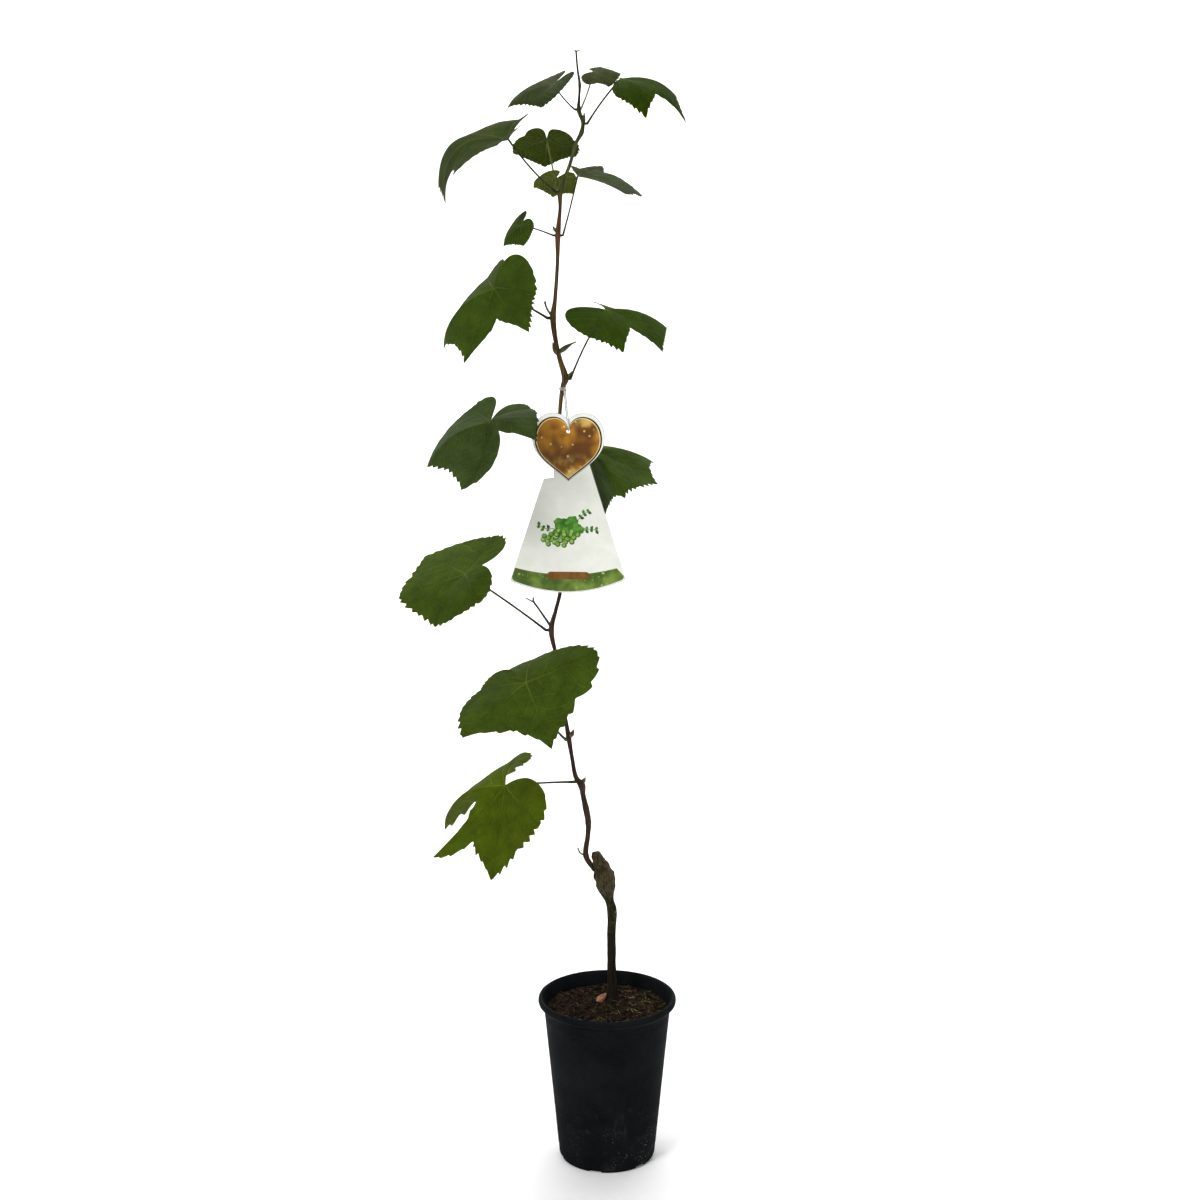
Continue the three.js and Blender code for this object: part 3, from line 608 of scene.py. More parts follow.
def make_buds():
    scale = Look("bud_scales")
    scale.paint(scale.noise(scale.place(), 300), (58, 52, 26), (112, 100, 58))
    scale.bump(scale.noise(scale.place(0.2), 900), 0.0003, 0.7)
    bract = Look("bract_green", roughness=0.55)
    bract.paint(bract.noise(bract.place(), 160), (62, 74, 26), (104, 112, 56), 0.3, 0.7)
    soup = Soup()
    for z, side, lean, length, width, kind in BUDS:
        root, radius = on_shoot(z * MM)
        length, width, side = length * MM, width * MM, math.radians(side)
        lie = turned(side, math.radians(lean))
        foot = Vector(root) + Vector((math.cos(side), math.sin(side), 0)) * radius * 0.7
        foot -= lie @ Vector((0, 0, 0.1 * length))
        if kind == "bract":
            # A narrow folded leaflet that curls over.
            steps = np.linspace(0, 1, 14)
            path = [foot + lie @ Vector((0.005 * t ** 3 - 0.0035 * t * t, 0, length * t)) for t in steps]
            swell = [0.35 + 1.2 * math.sin(math.pi * min(t * 1.15, 1)) * (1 - t) for t in steps]
            soup.add(*tube(path, np.multiply(swell, width * 0.5), 10), 1)
            continue
        steps = np.linspace(0, 1, 12)
        if kind == "spur":
            path = [foot + lie @ Vector((0.002 * math.sin(3 * t), 0, length * t)) for t in steps]
            swell = [1 - 0.35 * t + 0.5 * math.exp(-((t - 1) / 0.12) ** 2) for t in steps]
            soup.add(*tube(path, np.multiply(swell, width * 0.4), 10))
            continue
        # Three overlapping scales, each a pointed egg, the inner ones longer.
        for turn, size in ((0, 1.0), (2.1, 0.86), (4.2, 0.72)):
            shift = Vector((math.cos(turn), math.sin(turn), 0)) * width * 0.1
            path = [foot + lie @ (Vector((0, 0, length * size * t)) + shift * (1 - t)) for t in steps]
            swell = [max(math.sin(math.pi * t ** 0.72), 0.03) for t in steps]
            soup.add(*tube(path, np.multiply(swell, width * 0.46), 12))
    # Two tiny curled scales at the growing tip.
    tip_x, _, tip_z = SHOOT[-1][:3]
    for reach in (-2.2, 4.4):
        path = [(tip_x + reach * t, 0, tip_z - 2.4 + 2.2 * math.sin(2.2 * t)) for t in np.linspace(0, 1, 8)]
        soup.add(*tube(np.array(path) * MM, np.linspace(0.95, 0.6, 8) * MM, 8))
    soup.piece("buds", [scale.material, bract.material], slot="young_bark")


TENDRIL_HEIGHT = 655
TENDRIL_FORK = (-84.5, -1, 686)


def make_tendril():
    """The dried, forked tendril: a straight thin stalk and a short arm near its end."""
    look = Look("dried_tendril", roughness=0.6)
    streak = look.noise(look.place(0.1), 500)
    look.paint(streak, (26, 18, 16), (60, 42, 36))
    look.bump(streak, 0.0003, 0.6)
    root = on_shoot(TENDRIL_HEIGHT * MM)[0] / MM
    fork = np.array(TENDRIL_FORK)
    stalk = [root, root * 0.65 + fork * 0.35, root * 0.3 + fork * 0.7, fork, fork + [-0.4, 0, 5]]
    arm = [fork + [1, 0, -1.5], fork + [-3.5, 0, 1], fork + [-9, 0, 4]]
    soup = Soup()
    for path, sizes in ((stalk, (1.7, 1.4, 1.2, 1.2, 0.8)), (arm, (1, 0.9, 0.7))):
        middle, radii = limb_stations([(*p, r) for p, r in zip(path, sizes)], 30)
        soup.add(*tube(middle, radii, 12))
    soup.piece("forked_tendril", [look.material], replaces=["tendril"], slot="young_bark")


# ---------------------------------------------------------------- leaves
# Polar places in degrees of the five main veins round the stalk's end.
LOBE_STEP = 54
LAST_VEIN = 2 * LOBE_STEP
VEIN_PLACES = (-LAST_VEIN, -LOBE_STEP, 0, LOBE_STEP, LAST_VEIN)
# What a leaf's row leaves out: the place and fullness between lobes, and how full the base ends.
NOTCH_DEFAULTS = (0.5, 0, 0)
BASE_FULLNESS = 2.2
# Teeth on each side of a lobe, and their size as a share of the vein's length.
TEETH = 3.8
TOOTH = 0.052

PALE_STALKS = ("leaf_10", "leaf_12", "leaf_15")
# Name, height on the shoot, the stalk's end, stalk radius and bend in millimetres; the five veins'
# heading and dip in degrees, length and bow in millimetres; for each gap between lobes the lowest
# reach, its place from one vein (0) to the next (1), and how full the outline is before and after
# it; the angle that each basal lobe goes on past its vein, and how full they end there; the upper
# and under colours.
LEAVES = [
    ("leaf_01", 468, (-118, -25, 473), 1.25, (0, 0, 1),
     ((72, -5, 72, 18), (141, 38, 122, 24), (198, 42, 117, -4), (257, 54, 114, 0), (299, 15, 89, 9)),
     ([1, 0.45, 0.6, 1], [0.44, 0.66, -0.9, -0.2], [0.64, 0.42, 0.9, 0.25], [0.9, 0.5, 0.2, 0.5]), (36, 40),
     (76, 94, 14), (84, 100, 28)),
    ("leaf_02", 521, (-92, -68, 608), 1.35, (0, 2, -7),
     ((162, 14, 56, 2), (222, 27, 103, 2), (299, 45, 88, 5), (4, -24, 88, -2), (83, -13, 58, 6)),
     ([0.99, 0.5, 0, 1], [0.68, 0.5, 0.1], [0.74, 0.5, 0, 1], [0.93, 0.5, 1]), (52, 56, 5),
     (64, 82, 20), (80, 92, 38)),
    ("leaf_03", 652, (-161, -10, 720), 1.25, (0, 0, 1.5),
     ((56, -30, 69, 0), (125, -3, 92, 3), (171, 22, 85, 2), (228, 45, 73, 7), (287, 15, 70, 10)),
     ([0.87], [0.9, 0.5, 0, 0.5], [0.9, 0.5, 0.5], [0.93, 0.5, 0.2, 0.2]), (42, 44),
     (62, 80, 20), (80, 92, 38)),
    ("leaf_04", 880, (-130, -40, 900), 1.25, (-6, 16, 0),
     ((113, -6, 60, 0), (175, 37, 90, 14), (247, 41, 99, -10), (307, 7, 91, 18), (4, -17, 47, 4)),
     ([0.96], [0.76, 0.5, 0.3], [0.4, 0.72, 0.8, 0.5], [0.9]), (46, 42),
     (60, 76, 34), (80, 92, 46)),
    ("leaf_05", 822, (-20, 32, 856), 1.25, (0, 3, -4),
     ((320, 72, 76, 4), (302, 31, 87, 6), (348, 25, 88, 4), (27, 14, 87, 9), (78, 5, 61, 3)),
     ([0.86], [0.9], [0.84], [0.86]), (38, 40),
     (60, 79, 22), (80, 92, 38)),
    ("leaf_06", 942, (-2, -25, 1022), 1.1, (-2, -2, 2),
     ((253, 22, 64, 1), (288, 33, 74, 8), (335, 32, 82, 7), (20, 18, 77, 9), (65, 11, 48, 3)),
     ([0.95], [0.54, 0.5, 0.2, 0.2], [0.9], [0.86]), (56, 60, 4),
     (54, 75, 12), (76, 88, 30)),
    ("leaf_07", 1010, (-125, -30, 1046), 1.25, (0, 6, 0),
     ((100, -8, 52, 2), (143, 46, 106, 19), (228, 58, 92, -2), (307, 33, 78, 5), (312, 1, 72, 5)),
     ([0.78], [0.76], [0.48, 0.55, 0.3, 0.2], [0.94]), (66, 62),
     (61, 81, 21), (80, 92, 40)),
    ("leaf_08", 1101, (-95, -12, 1113), 0.9, (0, 0, 1),
     ((91, -28, 24, 0), (124, 14, 28, 3), (177, 50, 31, 3), (279, 54, 27, 2), (305, 5, 25, 3)),
     ([1.06], [0.84], [0.82], [0.98]), (42, 37),
     (62, 83, 24), (82, 94, 46)),
    ("leaf_09", 1101, (-33, -5, 1166), 1, (0.5, 0, 0),
     ((277, -9, 57, 0), (319, 14, 72, 3), (14, 16, 76, 8), (63, -7, 62, 0), (100, -8, 30, 3)),
     ([0.95], [0.9, 0.5, 0, 1], [0.62, 0.7, 1, 0.5], [0.96]), (24, 10),
     (58, 70, 34), (72, 80, 42)),
    ("leaf_10", 1130, (-57, 46, 1161), 0.9, (0, 4, -4),
     ((14, 12, 22, 1), (42, 37, 32, 3), (100, 41, 35, 2), (153, 21, 32, 3), (201, -6, 20, 1)),
     ([0.95], [0.85], [0.88], [0.94]), (52, 92, 5),
     (80, 93, 28), (86, 97, 34)),
    ("leaf_11", 1148, (-108, -25, 1206), 1.1, (0, 0, -4),
     ((74, -26, 46, 4), (142, 26, 112, 30), (183, 45, 98, 32), (227, 23, 92, 8), (258, 5, 52, 3)),
     ([0.95, 0.5, 0, 1], [0.92], [0.74], [0.78]), (46, 60, 3),
     (54, 67, 24), (78, 88, 40)),
    ("leaf_12", 1150, (-67, 22, 1204), 1, (0, 6, -4),
     ((348, 0, 30, 2), (39, 26, 45, 3), (95, 40, 50, 2), (148, 20, 48, 2), (186, -9, 25, 1)),
     ([1], [0.87], [0.9], [1.02]), (74, 72, 3.5),
     (54, 73, 12), (62, 77, 20)),
    ("leaf_13", 1222, (13, -5, 1269), 1.05, (-1, 0, 1),
     ((266, 21, 50, 2), (298, 33, 72, 13), (352, 33, 88, 15), (36, 16, 80, 12), (84, 9, 52, 5)),
     ([0.94], [0.57, 0.55, 0.2], [0.8], [0.7]), (16, 12),
     (46, 65, 0), (54, 70, 8)),
    ("leaf_14", 1237, (-59, -12, 1264), 0.9, (0, 0, -2),
     ((78, -17, 48, 0), (130, 8, 49, 5), (188, 27, 57, 6), (253, 29, 50, 4), (296, -7, 42, 1)),
     ([0.89], [0.86], [0.82], [1]), (12, 38),
     (50, 61, 26), (66, 76, 30)),
    ("leaf_15", 1237, (-16, 31, 1277), 0.9, (1, 1, -1),
     ((255, 29, 28, 1), (315, 35, 29, 4), (7, 4, 31, 1), (70, -12, 26, 1), (108, -14, 14, 1)),
     ([0.8, 0.45, 0.5], [0.95, 0.5, 0.5], [0.74], [0.85]), (36, 25),
     (60, 68, 36), (62, 72, 28)),
]


def aim(heading, dip):
    level = math.cos(math.radians(dip))
    turn = math.radians(heading)
    return np.array([level * math.cos(turn), level * math.sin(turn), -math.sin(math.radians(dip))])


class Blade:
    """The part's leaf rule: five bowed veins fan out from the stalk's end, and a skin spans them."""

    def __init__(self, junction, veins, notch, sinus):
        self.junction = np.array(junction, dtype=float) * MM
        self.notch = np.array([(*row, *NOTCH_DEFAULTS[len(row) - 1:]) for row in notch], dtype=float)
        self.sinus = sinus[:2]
        self.fullness = sinus[2] if len(sinus) > 2 else BASE_FULLNESS
        aims = [aim(v[0], v[1]) for v in veins]
        first = self.spread(aims[0], aims[1], sinus[0])
        last = self.spread(aims[4], aims[3], sinus[1])
        self.aims = np.array([first, *aims, last])
        self.places = np.array([-LAST_VEIN - sinus[0], *VEIN_PLACES, LAST_VEIN + sinus[1]], dtype=float)
        ends = [veins[0], *veins, veins[4]]
        self.lengths = np.array([v[2] for v in ends]) * MM
        self.bows = np.array([v[3] for v in ends]) * MM
        up = sum(np.cross(aims[i], aims[i + 1]) for i in range(4))
        self.up = up / np.linalg.norm(up)
        self.longest = self.lengths.max()

    @staticmethod
    def spread(edge, inner, angle):
        axis = np.cross(inner, edge)
        axis /= np.linalg.norm(axis)
        turn = math.radians(angle)
        return edge * math.cos(turn) + np.cross(axis, edge) * math.sin(turn)

    def reach(self, place):
        """The outline's distance at polar places, as a share of the vein length there."""
        size = np.abs(place)
        past = np.clip((size - LAST_VEIN) / np.where(place > 0, self.sinus[1], self.sinus[0]), 0, 1)
        basal = 0.16 + 0.84 * np.sqrt(np.maximum(0, 1 - past ** self.fullness))
        sector = np.clip(((place + LAST_VEIN) / LOBE_STEP).astype(int), 0, 3)
        t = (place + LAST_VEIN) / LOBE_STEP - sector
        depth, low, before, after = self.notch[sector].T
        lobe = np.clip(np.where(t < low, 1 - t / low, (t - low) / (1 - low)), 0, 1)
        full = np.where(t < low, before, after)
        hollow = 0.45 * lobe + 0.55 * lobe ** 4
        rounded = np.sin(np.pi / 2 * lobe) ** 0.7
        between = depth + (1 - depth) * (hollow + full * (rounded - hollow))
        return np.where(size > LAST_VEIN, basal, between)

    def teeth(self, place, seed):
        """Saw teeth that lean towards each lobe's tip, finer on the way into the stalk's sinus."""
        size = np.abs(place)
        vein = np.clip(np.round(place / LOBE_STEP), -2, 2)
        from_vein = np.abs(place - LOBE_STEP * vein) / (LOBE_STEP / 2)
        side = 2 * vein + np.sign(place - LOBE_STEP * vein)
        # Each lobe's side has its own count and stagger of teeth.
        count = TEETH + 0.6 * np.sin(2.3 * side + seed)
        phase = (1 - from_vein ** 0.9) * count + 0.3 * np.sin(4.1 * side + 2 * seed)
        wave = phase - np.floor(phase)
        saw = np.minimum(wave / 0.74, (1 - wave) / 0.26)
        big = 0.8 + 0.45 * np.sin(5.3 * np.floor(phase) + side + seed)
        calm = 1 - smoothstep(122, 146, size)
        tip = smoothstep(0.0, 0.22, from_vein)
        return TOOTH * (saw - 0.5) * big * calm * tip

    def at(self, place, share):
        """Points on the upper face: place in degrees, share 0 at the stalk's end to 1 at the edge."""
        i = np.clip(np.searchsorted(self.places, place, side="right") - 1, 0, 5)
        gap = self.places[i + 1] - self.places[i]
        t = np.clip((place - self.places[i]) / gap, 0, 1)[:, None]
        gap = gap[:, None]

        def slope(j):
            low = np.maximum(j - 1, 0)
            high = np.minimum(j + 1, 6)
            return (self.aims[high] - self.aims[low]) / (self.places[high] - self.places[low])[:, None]

        out = self.aims[i] * (2 * t ** 3 - 3 * t ** 2 + 1) + slope(i) * (t ** 3 - 2 * t ** 2 + t) * gap
        out += self.aims[i + 1] * (-2 * t ** 3 + 3 * t ** 2) + slope(i + 1) * (t ** 3 - t ** 2) * gap
        out /= np.linalg.norm(out, axis=1)[:, None]
        t = t[:, 0]
        length = self.lengths[i] * (1 - t) + self.lengths[i + 1] * t
        bow = self.bows[i] * (1 - t) + self.bows[i + 1] * t
        lift = 4 * bow * share * (1 - share)
        return self.junction + out * (length * share)[:, None] + self.up * lift[:, None], length * share


# The side veins' lean from the main vein, and their spacing as a share of the longest vein.
VEIN_ANGLE = math.radians(50)
VEIN_SPACING = 0.15


def vein_gap(plan_x, plan_y, size):
    """Distance to the nearest side vein, for points of a leaf laid flat. size is the longest vein."""
    turn = np.degrees(np.arctan2(plan_y, plan_x))
    offset = np.radians(turn - LOBE_STEP * np.clip(np.round(turn / LOBE_STEP), -2, 2))
    radius = np.hypot(plan_x, plan_y)
    along = radius * np.cos(offset)
    across = radius * np.abs(np.sin(offset))
    spacing = VEIN_SPACING * size
    start = (along - across / math.tan(VEIN_ANGLE)) / spacing + 0.25 * np.sign(offset)
    side = np.abs(start - np.floor(start) - 0.5) * spacing * math.sin(VEIN_ANGLE)
    return np.minimum(side, across)


def leaf_look(name, tint, size, under):
    """Green blade: pale star of main veins, faint side veins, a net of fine cells, uneven tone, and painted
    shade in the fine hollows with painted highlight on their crests.
    """
    look = Look(name, roughness=0.7 if under else 0.6, specular=0.03)
    plan = look.node("ShaderNodeAttribute", attribute_name="plan").outputs["Vector"]
    x, y, _ = look.axes(plan)
    turn = look.math("ARCTAN2", y, x)
    step = math.radians(LOBE_STEP)
    nearest = look.math("MINIMUM", look.math("ROUND", turn / step), 2.0)
    offset = turn - look.math("MAXIMUM", nearest, -2.0) * step
    radius = look.math("SQRT", x * x + y * y)
    along = radius * look.math("COSINE", offset)
    across = radius * look.math("ABSOLUTE", look.math("SINE", offset))
    # Main veins narrow from the stalk's end to the tip.
    width = look.ramp(along, 0.0, size, 0.0013, 0.0003)
    main = look.math("SUBTRACT", 1.0, across / width, clamp=True)
    bright = look.ramp(along, size * 0.6, 0.0, 0.16, 0.75)
    # Side veins leave the main ones at even steps, and waver.
    wobble = (look.noise(plan, 45, detail=2) - 0.5) * 0.012
    start = (along - across / math.tan(VEIN_ANGLE) + wobble) / (VEIN_SPACING * size)
    start = start + look.math("SIGN", offset) * 0.25
    side = look.math("ABSOLUTE", look.math("FRACT", start) - 0.5)
    side = side * (VEIN_SPACING * size * math.sin(VEIN_ANGLE))
    lines = look.ramp(side, 0.0009, 0.0002)
    mesh = look.ramp(look.cells(plan, 420, feature="DISTANCE_TO_EDGE"), 0.12, 0.0)
    fine = look.noise(plan, 330, detail=4, roughness=0.7)
    dark = tuple(c * (0.9 if under else 0.87) for c in tint)
    light = tuple(min(c * 1.1 + 1, 255) for c in tint)
    crease_shade = tuple(c * 0.7 for c in tint)
    pale = (tint[0] * 1.3 + 36, tint[1] * 1.25 + 32, tint[2] * 1.3 + 28)
    base = look.blend(look.noise(plan, 38, detail=5, roughness=0.6), 0.3, 0.7, dark, light)
    # Painted highlight where the fine relief rises, and painted shade (the crease colour) where it sinks.
    base = look.mix(look.ramp(fine, 0.5, 0.68) * 0.5, base, light)
    base = look.mix(look.ramp(fine, 0.48, 0.3) * 0.6, base, crease_shade)
    base = look.mix(mesh * (0.1 if under else 0.03), base, pale)
    base = look.mix(lines * (0.3 if under else 0.16), base, pale)
    base = look.mix(main * bright, base, pale)
    look.colour(base)
    # Veins stand out below and lie in hollows above.
    raised = (lines * 0.8 + mesh * 0.25 + main) * (1.0 if under else -1.0)
    normal = look.bump(raised + fine * 0.7, 0.001, 0.9)
    shine = {"Color": look.mix(0.5, base, (150, 170, 30)), "Normal": normal}
    glow = look.node("ShaderNodeBsdfTranslucent", shine)
    both = look.node("ShaderNodeMixShader", {0: 0.22, 1: look.shader.outputs[0], 2: glow.outputs[0]})
    look.feed(look.tree.nodes["Material Output"].inputs["Surface"], both.outputs[0])
    return look.material


def make_blade(name, blade, seed, tint, under_tint):
    """Builds a toothed blade with two faces, and gives its thickness."""
    size = blade.longest
    small = size < 60 * MM
    spokes = 200 if small else 330
    rings = 14 if small else 26
    thickness = max(0.0042 * size, 0.3 * MM)
    place = np.linspace(blade.places[0], blade.places[6], spokes + 1)
    edge = blade.reach(place)
    toothed = edge * (1 + blade.teeth(place, seed))
    shares = (np.arange(1, rings + 1) / rings) ** 0.85
    blend = smoothstep(0.72, 1.0, shares)
    grid_place = np.tile(place, rings)
    share = np.concatenate([s * (edge * (1 - b) + toothed * b) for s, b in zip(shares, blend)])
    points, radius = blade.at(grid_place, share)
    turn = np.radians(grid_place)
    plan = np.column_stack([radius * np.cos(turn), radius * np.sin(turn), 0 * radius])
    ring_share = np.repeat(shares, spokes + 1)
    # Soft pillows between the side veins, and a slow wave that grows towards the edge.
    gap = vein_gap(plan[:, 0], plan[:, 1], size)
    pillow = 0.42 * MM * (size / 0.1) * (1 - np.exp(-(gap / (0.045 * size)) ** 2))
    pillow *= smoothstep(0.05, 0.3, ring_share)
    wave = 0.016 * size * ring_share ** 2 * bumps(plan, 62, seed, 2)
    points = np.vstack([blade.junction, points + blade.up * (pillow + wave)[:, None]])
    plan = np.vstack([[0, 0, 0], plan])

    def at(j, k):
        return 1 + k * (spokes + 1) + j

    faces = [(0, at(j, 0), at(j + 1, 0)) for j in range(spokes)]
    for k in range(rings - 1):
        faces += [(at(j, k), at(j, k + 1), at(j + 1, k + 1), at(j + 1, k)) for j in range(spokes)]
    normals = np.zeros_like(points)
    for face in faces:
        a, b, c = (points[i] for i in face[:3])
        normal = np.cross(b - a, c - a)
        for i in face:
            normals[i] += normal
    normals /= np.linalg.norm(normals, axis=1)[:, None]
    count = len(points)
    lower = points - normals * thickness
    rim = [0] + [at(0, k) for k in range(rings)] + [at(j, rings - 1) for j in range(1, spokes + 1)]
    rim += [at(spokes, k) for k in range(rings - 2, -1, -1)]
    below = [tuple(count + i for i in reversed(face)) for face in faces]
    below += [(a, count + a, count + b, b) for a, b in zip(rim, rim[1:] + rim[:1])]
    slots = [0] * len(faces) + [1] * len(below)
    looks = [leaf_look(name + "_upper", tint, size, False)]
    looks.append(leaf_look(name + "_under", under_tint, size, True))
    points = np.vstack([points, lower])
    made = piece(name + "_blade", points, faces + below, looks, [name], "leaf", face_slots=slots)
    plans = made.data.attributes.new("plan", "FLOAT_VECTOR", "POINT")
    plans.data.foreach_set("vector", np.vstack([plan, plan]).ravel())
    return thickness


def stalk_look(name, dark, light):
    look = Look(name, roughness=0.55, specular=0.2)
    look.paint(look.noise(look.place(0.2), 260), dark, light)
    look.bump(look.noise(look.place(), 1200), 0.0002, 0.6)
    return look.material


def make_stalk(name, blade, node, stalk, bend, thickness, material):
    """The stalk from its swollen foot on the shoot to the blade, and the raised veins under the blade."""
    root, radius = on_shoot(node * MM)
    stalk = stalk * MM
    end = blade.junction - blade.up * thickness * 1.2
    level = (end - root) * [1, 1, 0]
    level /= np.linalg.norm(level)
    knee = root + level * (radius + 2.5 * stalk)
    bend = np.array(bend) * MM
    steps = np.linspace(0, 1, 26)
    path = [root + level * radius * 0.5, root + level * radius * 0.9, knee]
    radii = [stalk * 1.6, stalk * 1.6, stalk * 1.45]
    for t in steps[2:]:
        path.append(knee * (1 - t) + end * t + bend * 4 * t * (1 - t))
        radii.append(stalk * (0.98 + 0.4 * math.exp(-t / 0.12) + 0.15 * t ** 6))
    soup = Soup()
    soup.add(*tube(path, radii, 14))
    rows = np.linspace(0.0, 0.95, 26)
    for vein in range(1, 6):
        place = np.full(len(rows), blade.places[vein])
        line, _ = blade.at(place, rows * blade.reach(place[:1])[0])
        girth = stalk * (0.42 - 0.34 * rows)
        line = line - blade.up * (thickness + 0.6 * girth)[:, None]
        soup.add(*tube(line, girth, 8))
    soup.piece(name + "_stalk", [material], slot="leaf")


def make_leaves():
    dark = stalk_look("leaf_stalk", (36, 40, 18), (62, 66, 34))
    pale = stalk_look("pale_leaf_stalk", (78, 92, 36), (112, 122, 64))
    for seed, row in enumerate(LEAVES):
        name, node, junction, stalk, bend, veins, notch, sinus, tint, under_tint = row
        blade = Blade(junction, veins, notch, sinus)
        thickness = make_blade(name, blade, seed, tint, under_tint)
        make_stalk(name, blade, node, stalk, bend, thickness, pale if name in PALE_STALKS else dark)


# ---------------------------------------------------------------- tag and string
TAG_CENTRE = np.array([-44, -10, 827]) * MM
TAG_TURN = math.radians(-3)
TAG_THICKNESS = 0.9 * MM
# The hole's radius and its height above the tag's centre, in millimetres.
TAG_HOLE = 2.0
TAG_HOLE_HEIGHT = 57


def bezier(*controls, steps=14):
    """A Bezier curve's points, without its start."""
    t = np.linspace(0, 1, steps + 1)[1:, None]
    rows = [np.array(p, dtype=float) for p in controls]
    while len(rows) > 1:
        rows = [a * (1 - t) + b * t for a, b in zip(rows, rows[1:])]
    return rows[0]


def heart_outline(half, high, notch, lift=0.0):
    """A heart in millimetres. notch is the drop between its lobes, and lift is its tip's height."""
    widest, top, dip = (half, 0.64 * high), (0.44 * half, high), (0, high - notch)
    right = np.vstack([
        [(0, 0)],
        bezier((0, 0), (0.34 * half, 0.18 * high), (half, 0.33 * high), widest),
        bezier(widest, (half, 0.87 * high), (0.73 * half, high), top),
        bezier(top, (0.2 * half, high), (0.05 * half, high - 0.45 * notch), dip),
    ])
    left = right[::-1][1:-1] * [-1, 1]
    return np.vstack([right, left]) + [0, lift]


def skirt_foot(inset=0.0):
    """The skirt's lower edge in millimetres, left to right, with its rounded corners."""
    rows = [(-66.2, -112), (-67, -117), (-60, -118.5), (0, -140), (58, -116), (65, -114), (64, -109.5)]
    rows = np.array(rows) * [1 - inset / 66, 1] + [0, inset]
    parts = [rows[:1], bezier(*rows[:3], steps=8), bezier(*rows[2:5], steps=24)]
    return np.vstack([*parts, bezier(*rows[4:], steps=8)])


def skirt_outline(inset=0.0):
    """The fan below the heart in millimetres, drawn in by inset all round."""
    corners = np.array([(23.4, 22), (-16, 22), (-17, 4), (-28, 3)])
    return np.vstack([skirt_foot(inset), corners + np.array([(-1, 0), (1, 0), (0, -1), (0.8, -1)]) * inset])


def tag_stand():
    """Puts the tag's own plane, x right and y up, upright in its place."""
    stand = Matrix.Translation(Vector(TAG_CENTRE)) @ Matrix.Rotation(TAG_TURN, 4, "Z")
    return stand @ Matrix.Rotation(math.pi / 2, 4, "X")


def plate(name, outline, depth_back, depth_front, material, holes=(), replaces=()):
    """A flat plate in the tag's plane, from an outline in millimetres, filled by a curve object."""
    flat = bpy.data.curves.new(name, "CURVE")
    flat.dimensions = "2D"
    flat.fill_mode = "BOTH"
    flat.extrude = abs(depth_back - depth_front) / 2
    for ring in (outline, *holes):
        line = flat.splines.new("POLY")
        line.points.add(len(ring) - 1)
        for point, (x, y) in zip(line.points, ring):
            point.co = (x * MM, y * MM, 0, 1)
        line.use_cyclic_u = True
    rough = bpy.data.objects.new(name + "_outline", flat)
    bpy.context.scene.collection.objects.link(rough)
    bpy.context.view_layer.update()
    mesh = bpy.data.meshes.new_from_object(rough)
    bpy.data.objects.remove(rough)
    bpy.data.curves.remove(flat)
    mesh.name = name
    mesh.transform(tag_stand() @ Matrix.Translation((0, 0, (depth_back + depth_front) / 2)))
    mesh.materials.clear()
    mesh.materials.append(material)
    adopt(name, mesh, replaces)


def circle(x, y, radius, steps=28):
    turn = np.linspace(0, 2 * math.pi, steps, endpoint=False)
    return np.column_stack([x + radius * np.cos(turn), y + radius * np.sin(turn)])


def card_look(name, dark, light, scale=60, gloss=0.3):
    look = Look(name, roughness=gloss, specular=0.2)
    spot = look.place()
    look.paint(look.noise(spot, scale, detail=3), dark, light)
    look.bump(look.noise(spot, 800, detail=2), 0.00005, 0.5)
    return look.material


def amber_look():
    """Warm glowing amber: a soft gradient with round spots of light."""
    look = Look("tag_amber", roughness=0.28, specular=0.35)
    spot = look.place()
    x, _, z = look.axes(spot)
    base = look.blend(look.noise(spot, 34, detail=2), 0.35, 0.65, (98, 56, 4), (186, 126, 26))
    # The glow gathers at the lobe on the +X side and at the tip.
    upper = look.ramp(x, -0.045, -0.02) * look.ramp(z, 0.87, 0.895)
    lower = look.ramp(z, 0.862, 0.838)
    glow = look.math("MAXIMUM", upper, lower) * look.ramp(look.noise(spot, 60, detail=2), 0.4, 0.62)
    base = look.mix(glow * 0.75, base, (238, 198, 104))
    look.colour(look.mix(look.ramp(look.cells(spot, 140), 0.26, 0.1) * 0.6, base, (250, 222, 150)))
    return look.material


def meadow_look():
    """The band's soft greens."""
    look = Look("tag_meadow", roughness=0.3, specular=0.35)
    spot = look.place()
    base = look.blend(look.noise(spot, 45, detail=2), 0.35, 0.65, (66, 92, 14), (120, 146, 56))
    leafy = look.ramp(look.cells(spot, 230), 0.42, 0.2) * look.ramp(look.noise(spot, 60), 0.45, 0.6)
    look.colour(look.mix(leafy, base, (158, 180, 104)))
    return look.material


def leaflet(x, y, turn, long, wide):
    """A simple pointed leaf shape in millimetres, its foot at (x, y)."""
    side = [(long * t, wide * 0.5 * math.sin(math.pi * t ** 0.8)) for t in np.linspace(0, 1, 11)]
    ring = np.array(side + [(a, -b) for a, b in side[-2:0:-1]])
    c, s = math.cos(math.radians(turn)), math.sin(math.radians(turn))
    return ring @ np.array([[c, s], [-s, c]]) + [x, y]


def ribbon(path, width):
    """A band of even width along a path, as a closed outline in millimetres."""
    path = np.asarray(path, dtype=float)
    along = np.gradient(path, axis=0)
    along /= np.linalg.norm(along, axis=1)[:, None]
    normal = np.column_stack([-along[:, 1], along[:, 0]]) * width / 2
    return np.vstack([path + normal, (path - normal)[::-1]])


def band_outline():
    """The curved strip along the skirt's lower edge."""
    return np.vstack([skirt_foot(1.5), bezier((59.6, -98), (0, -116), (-61.2, -100), steps=24)])


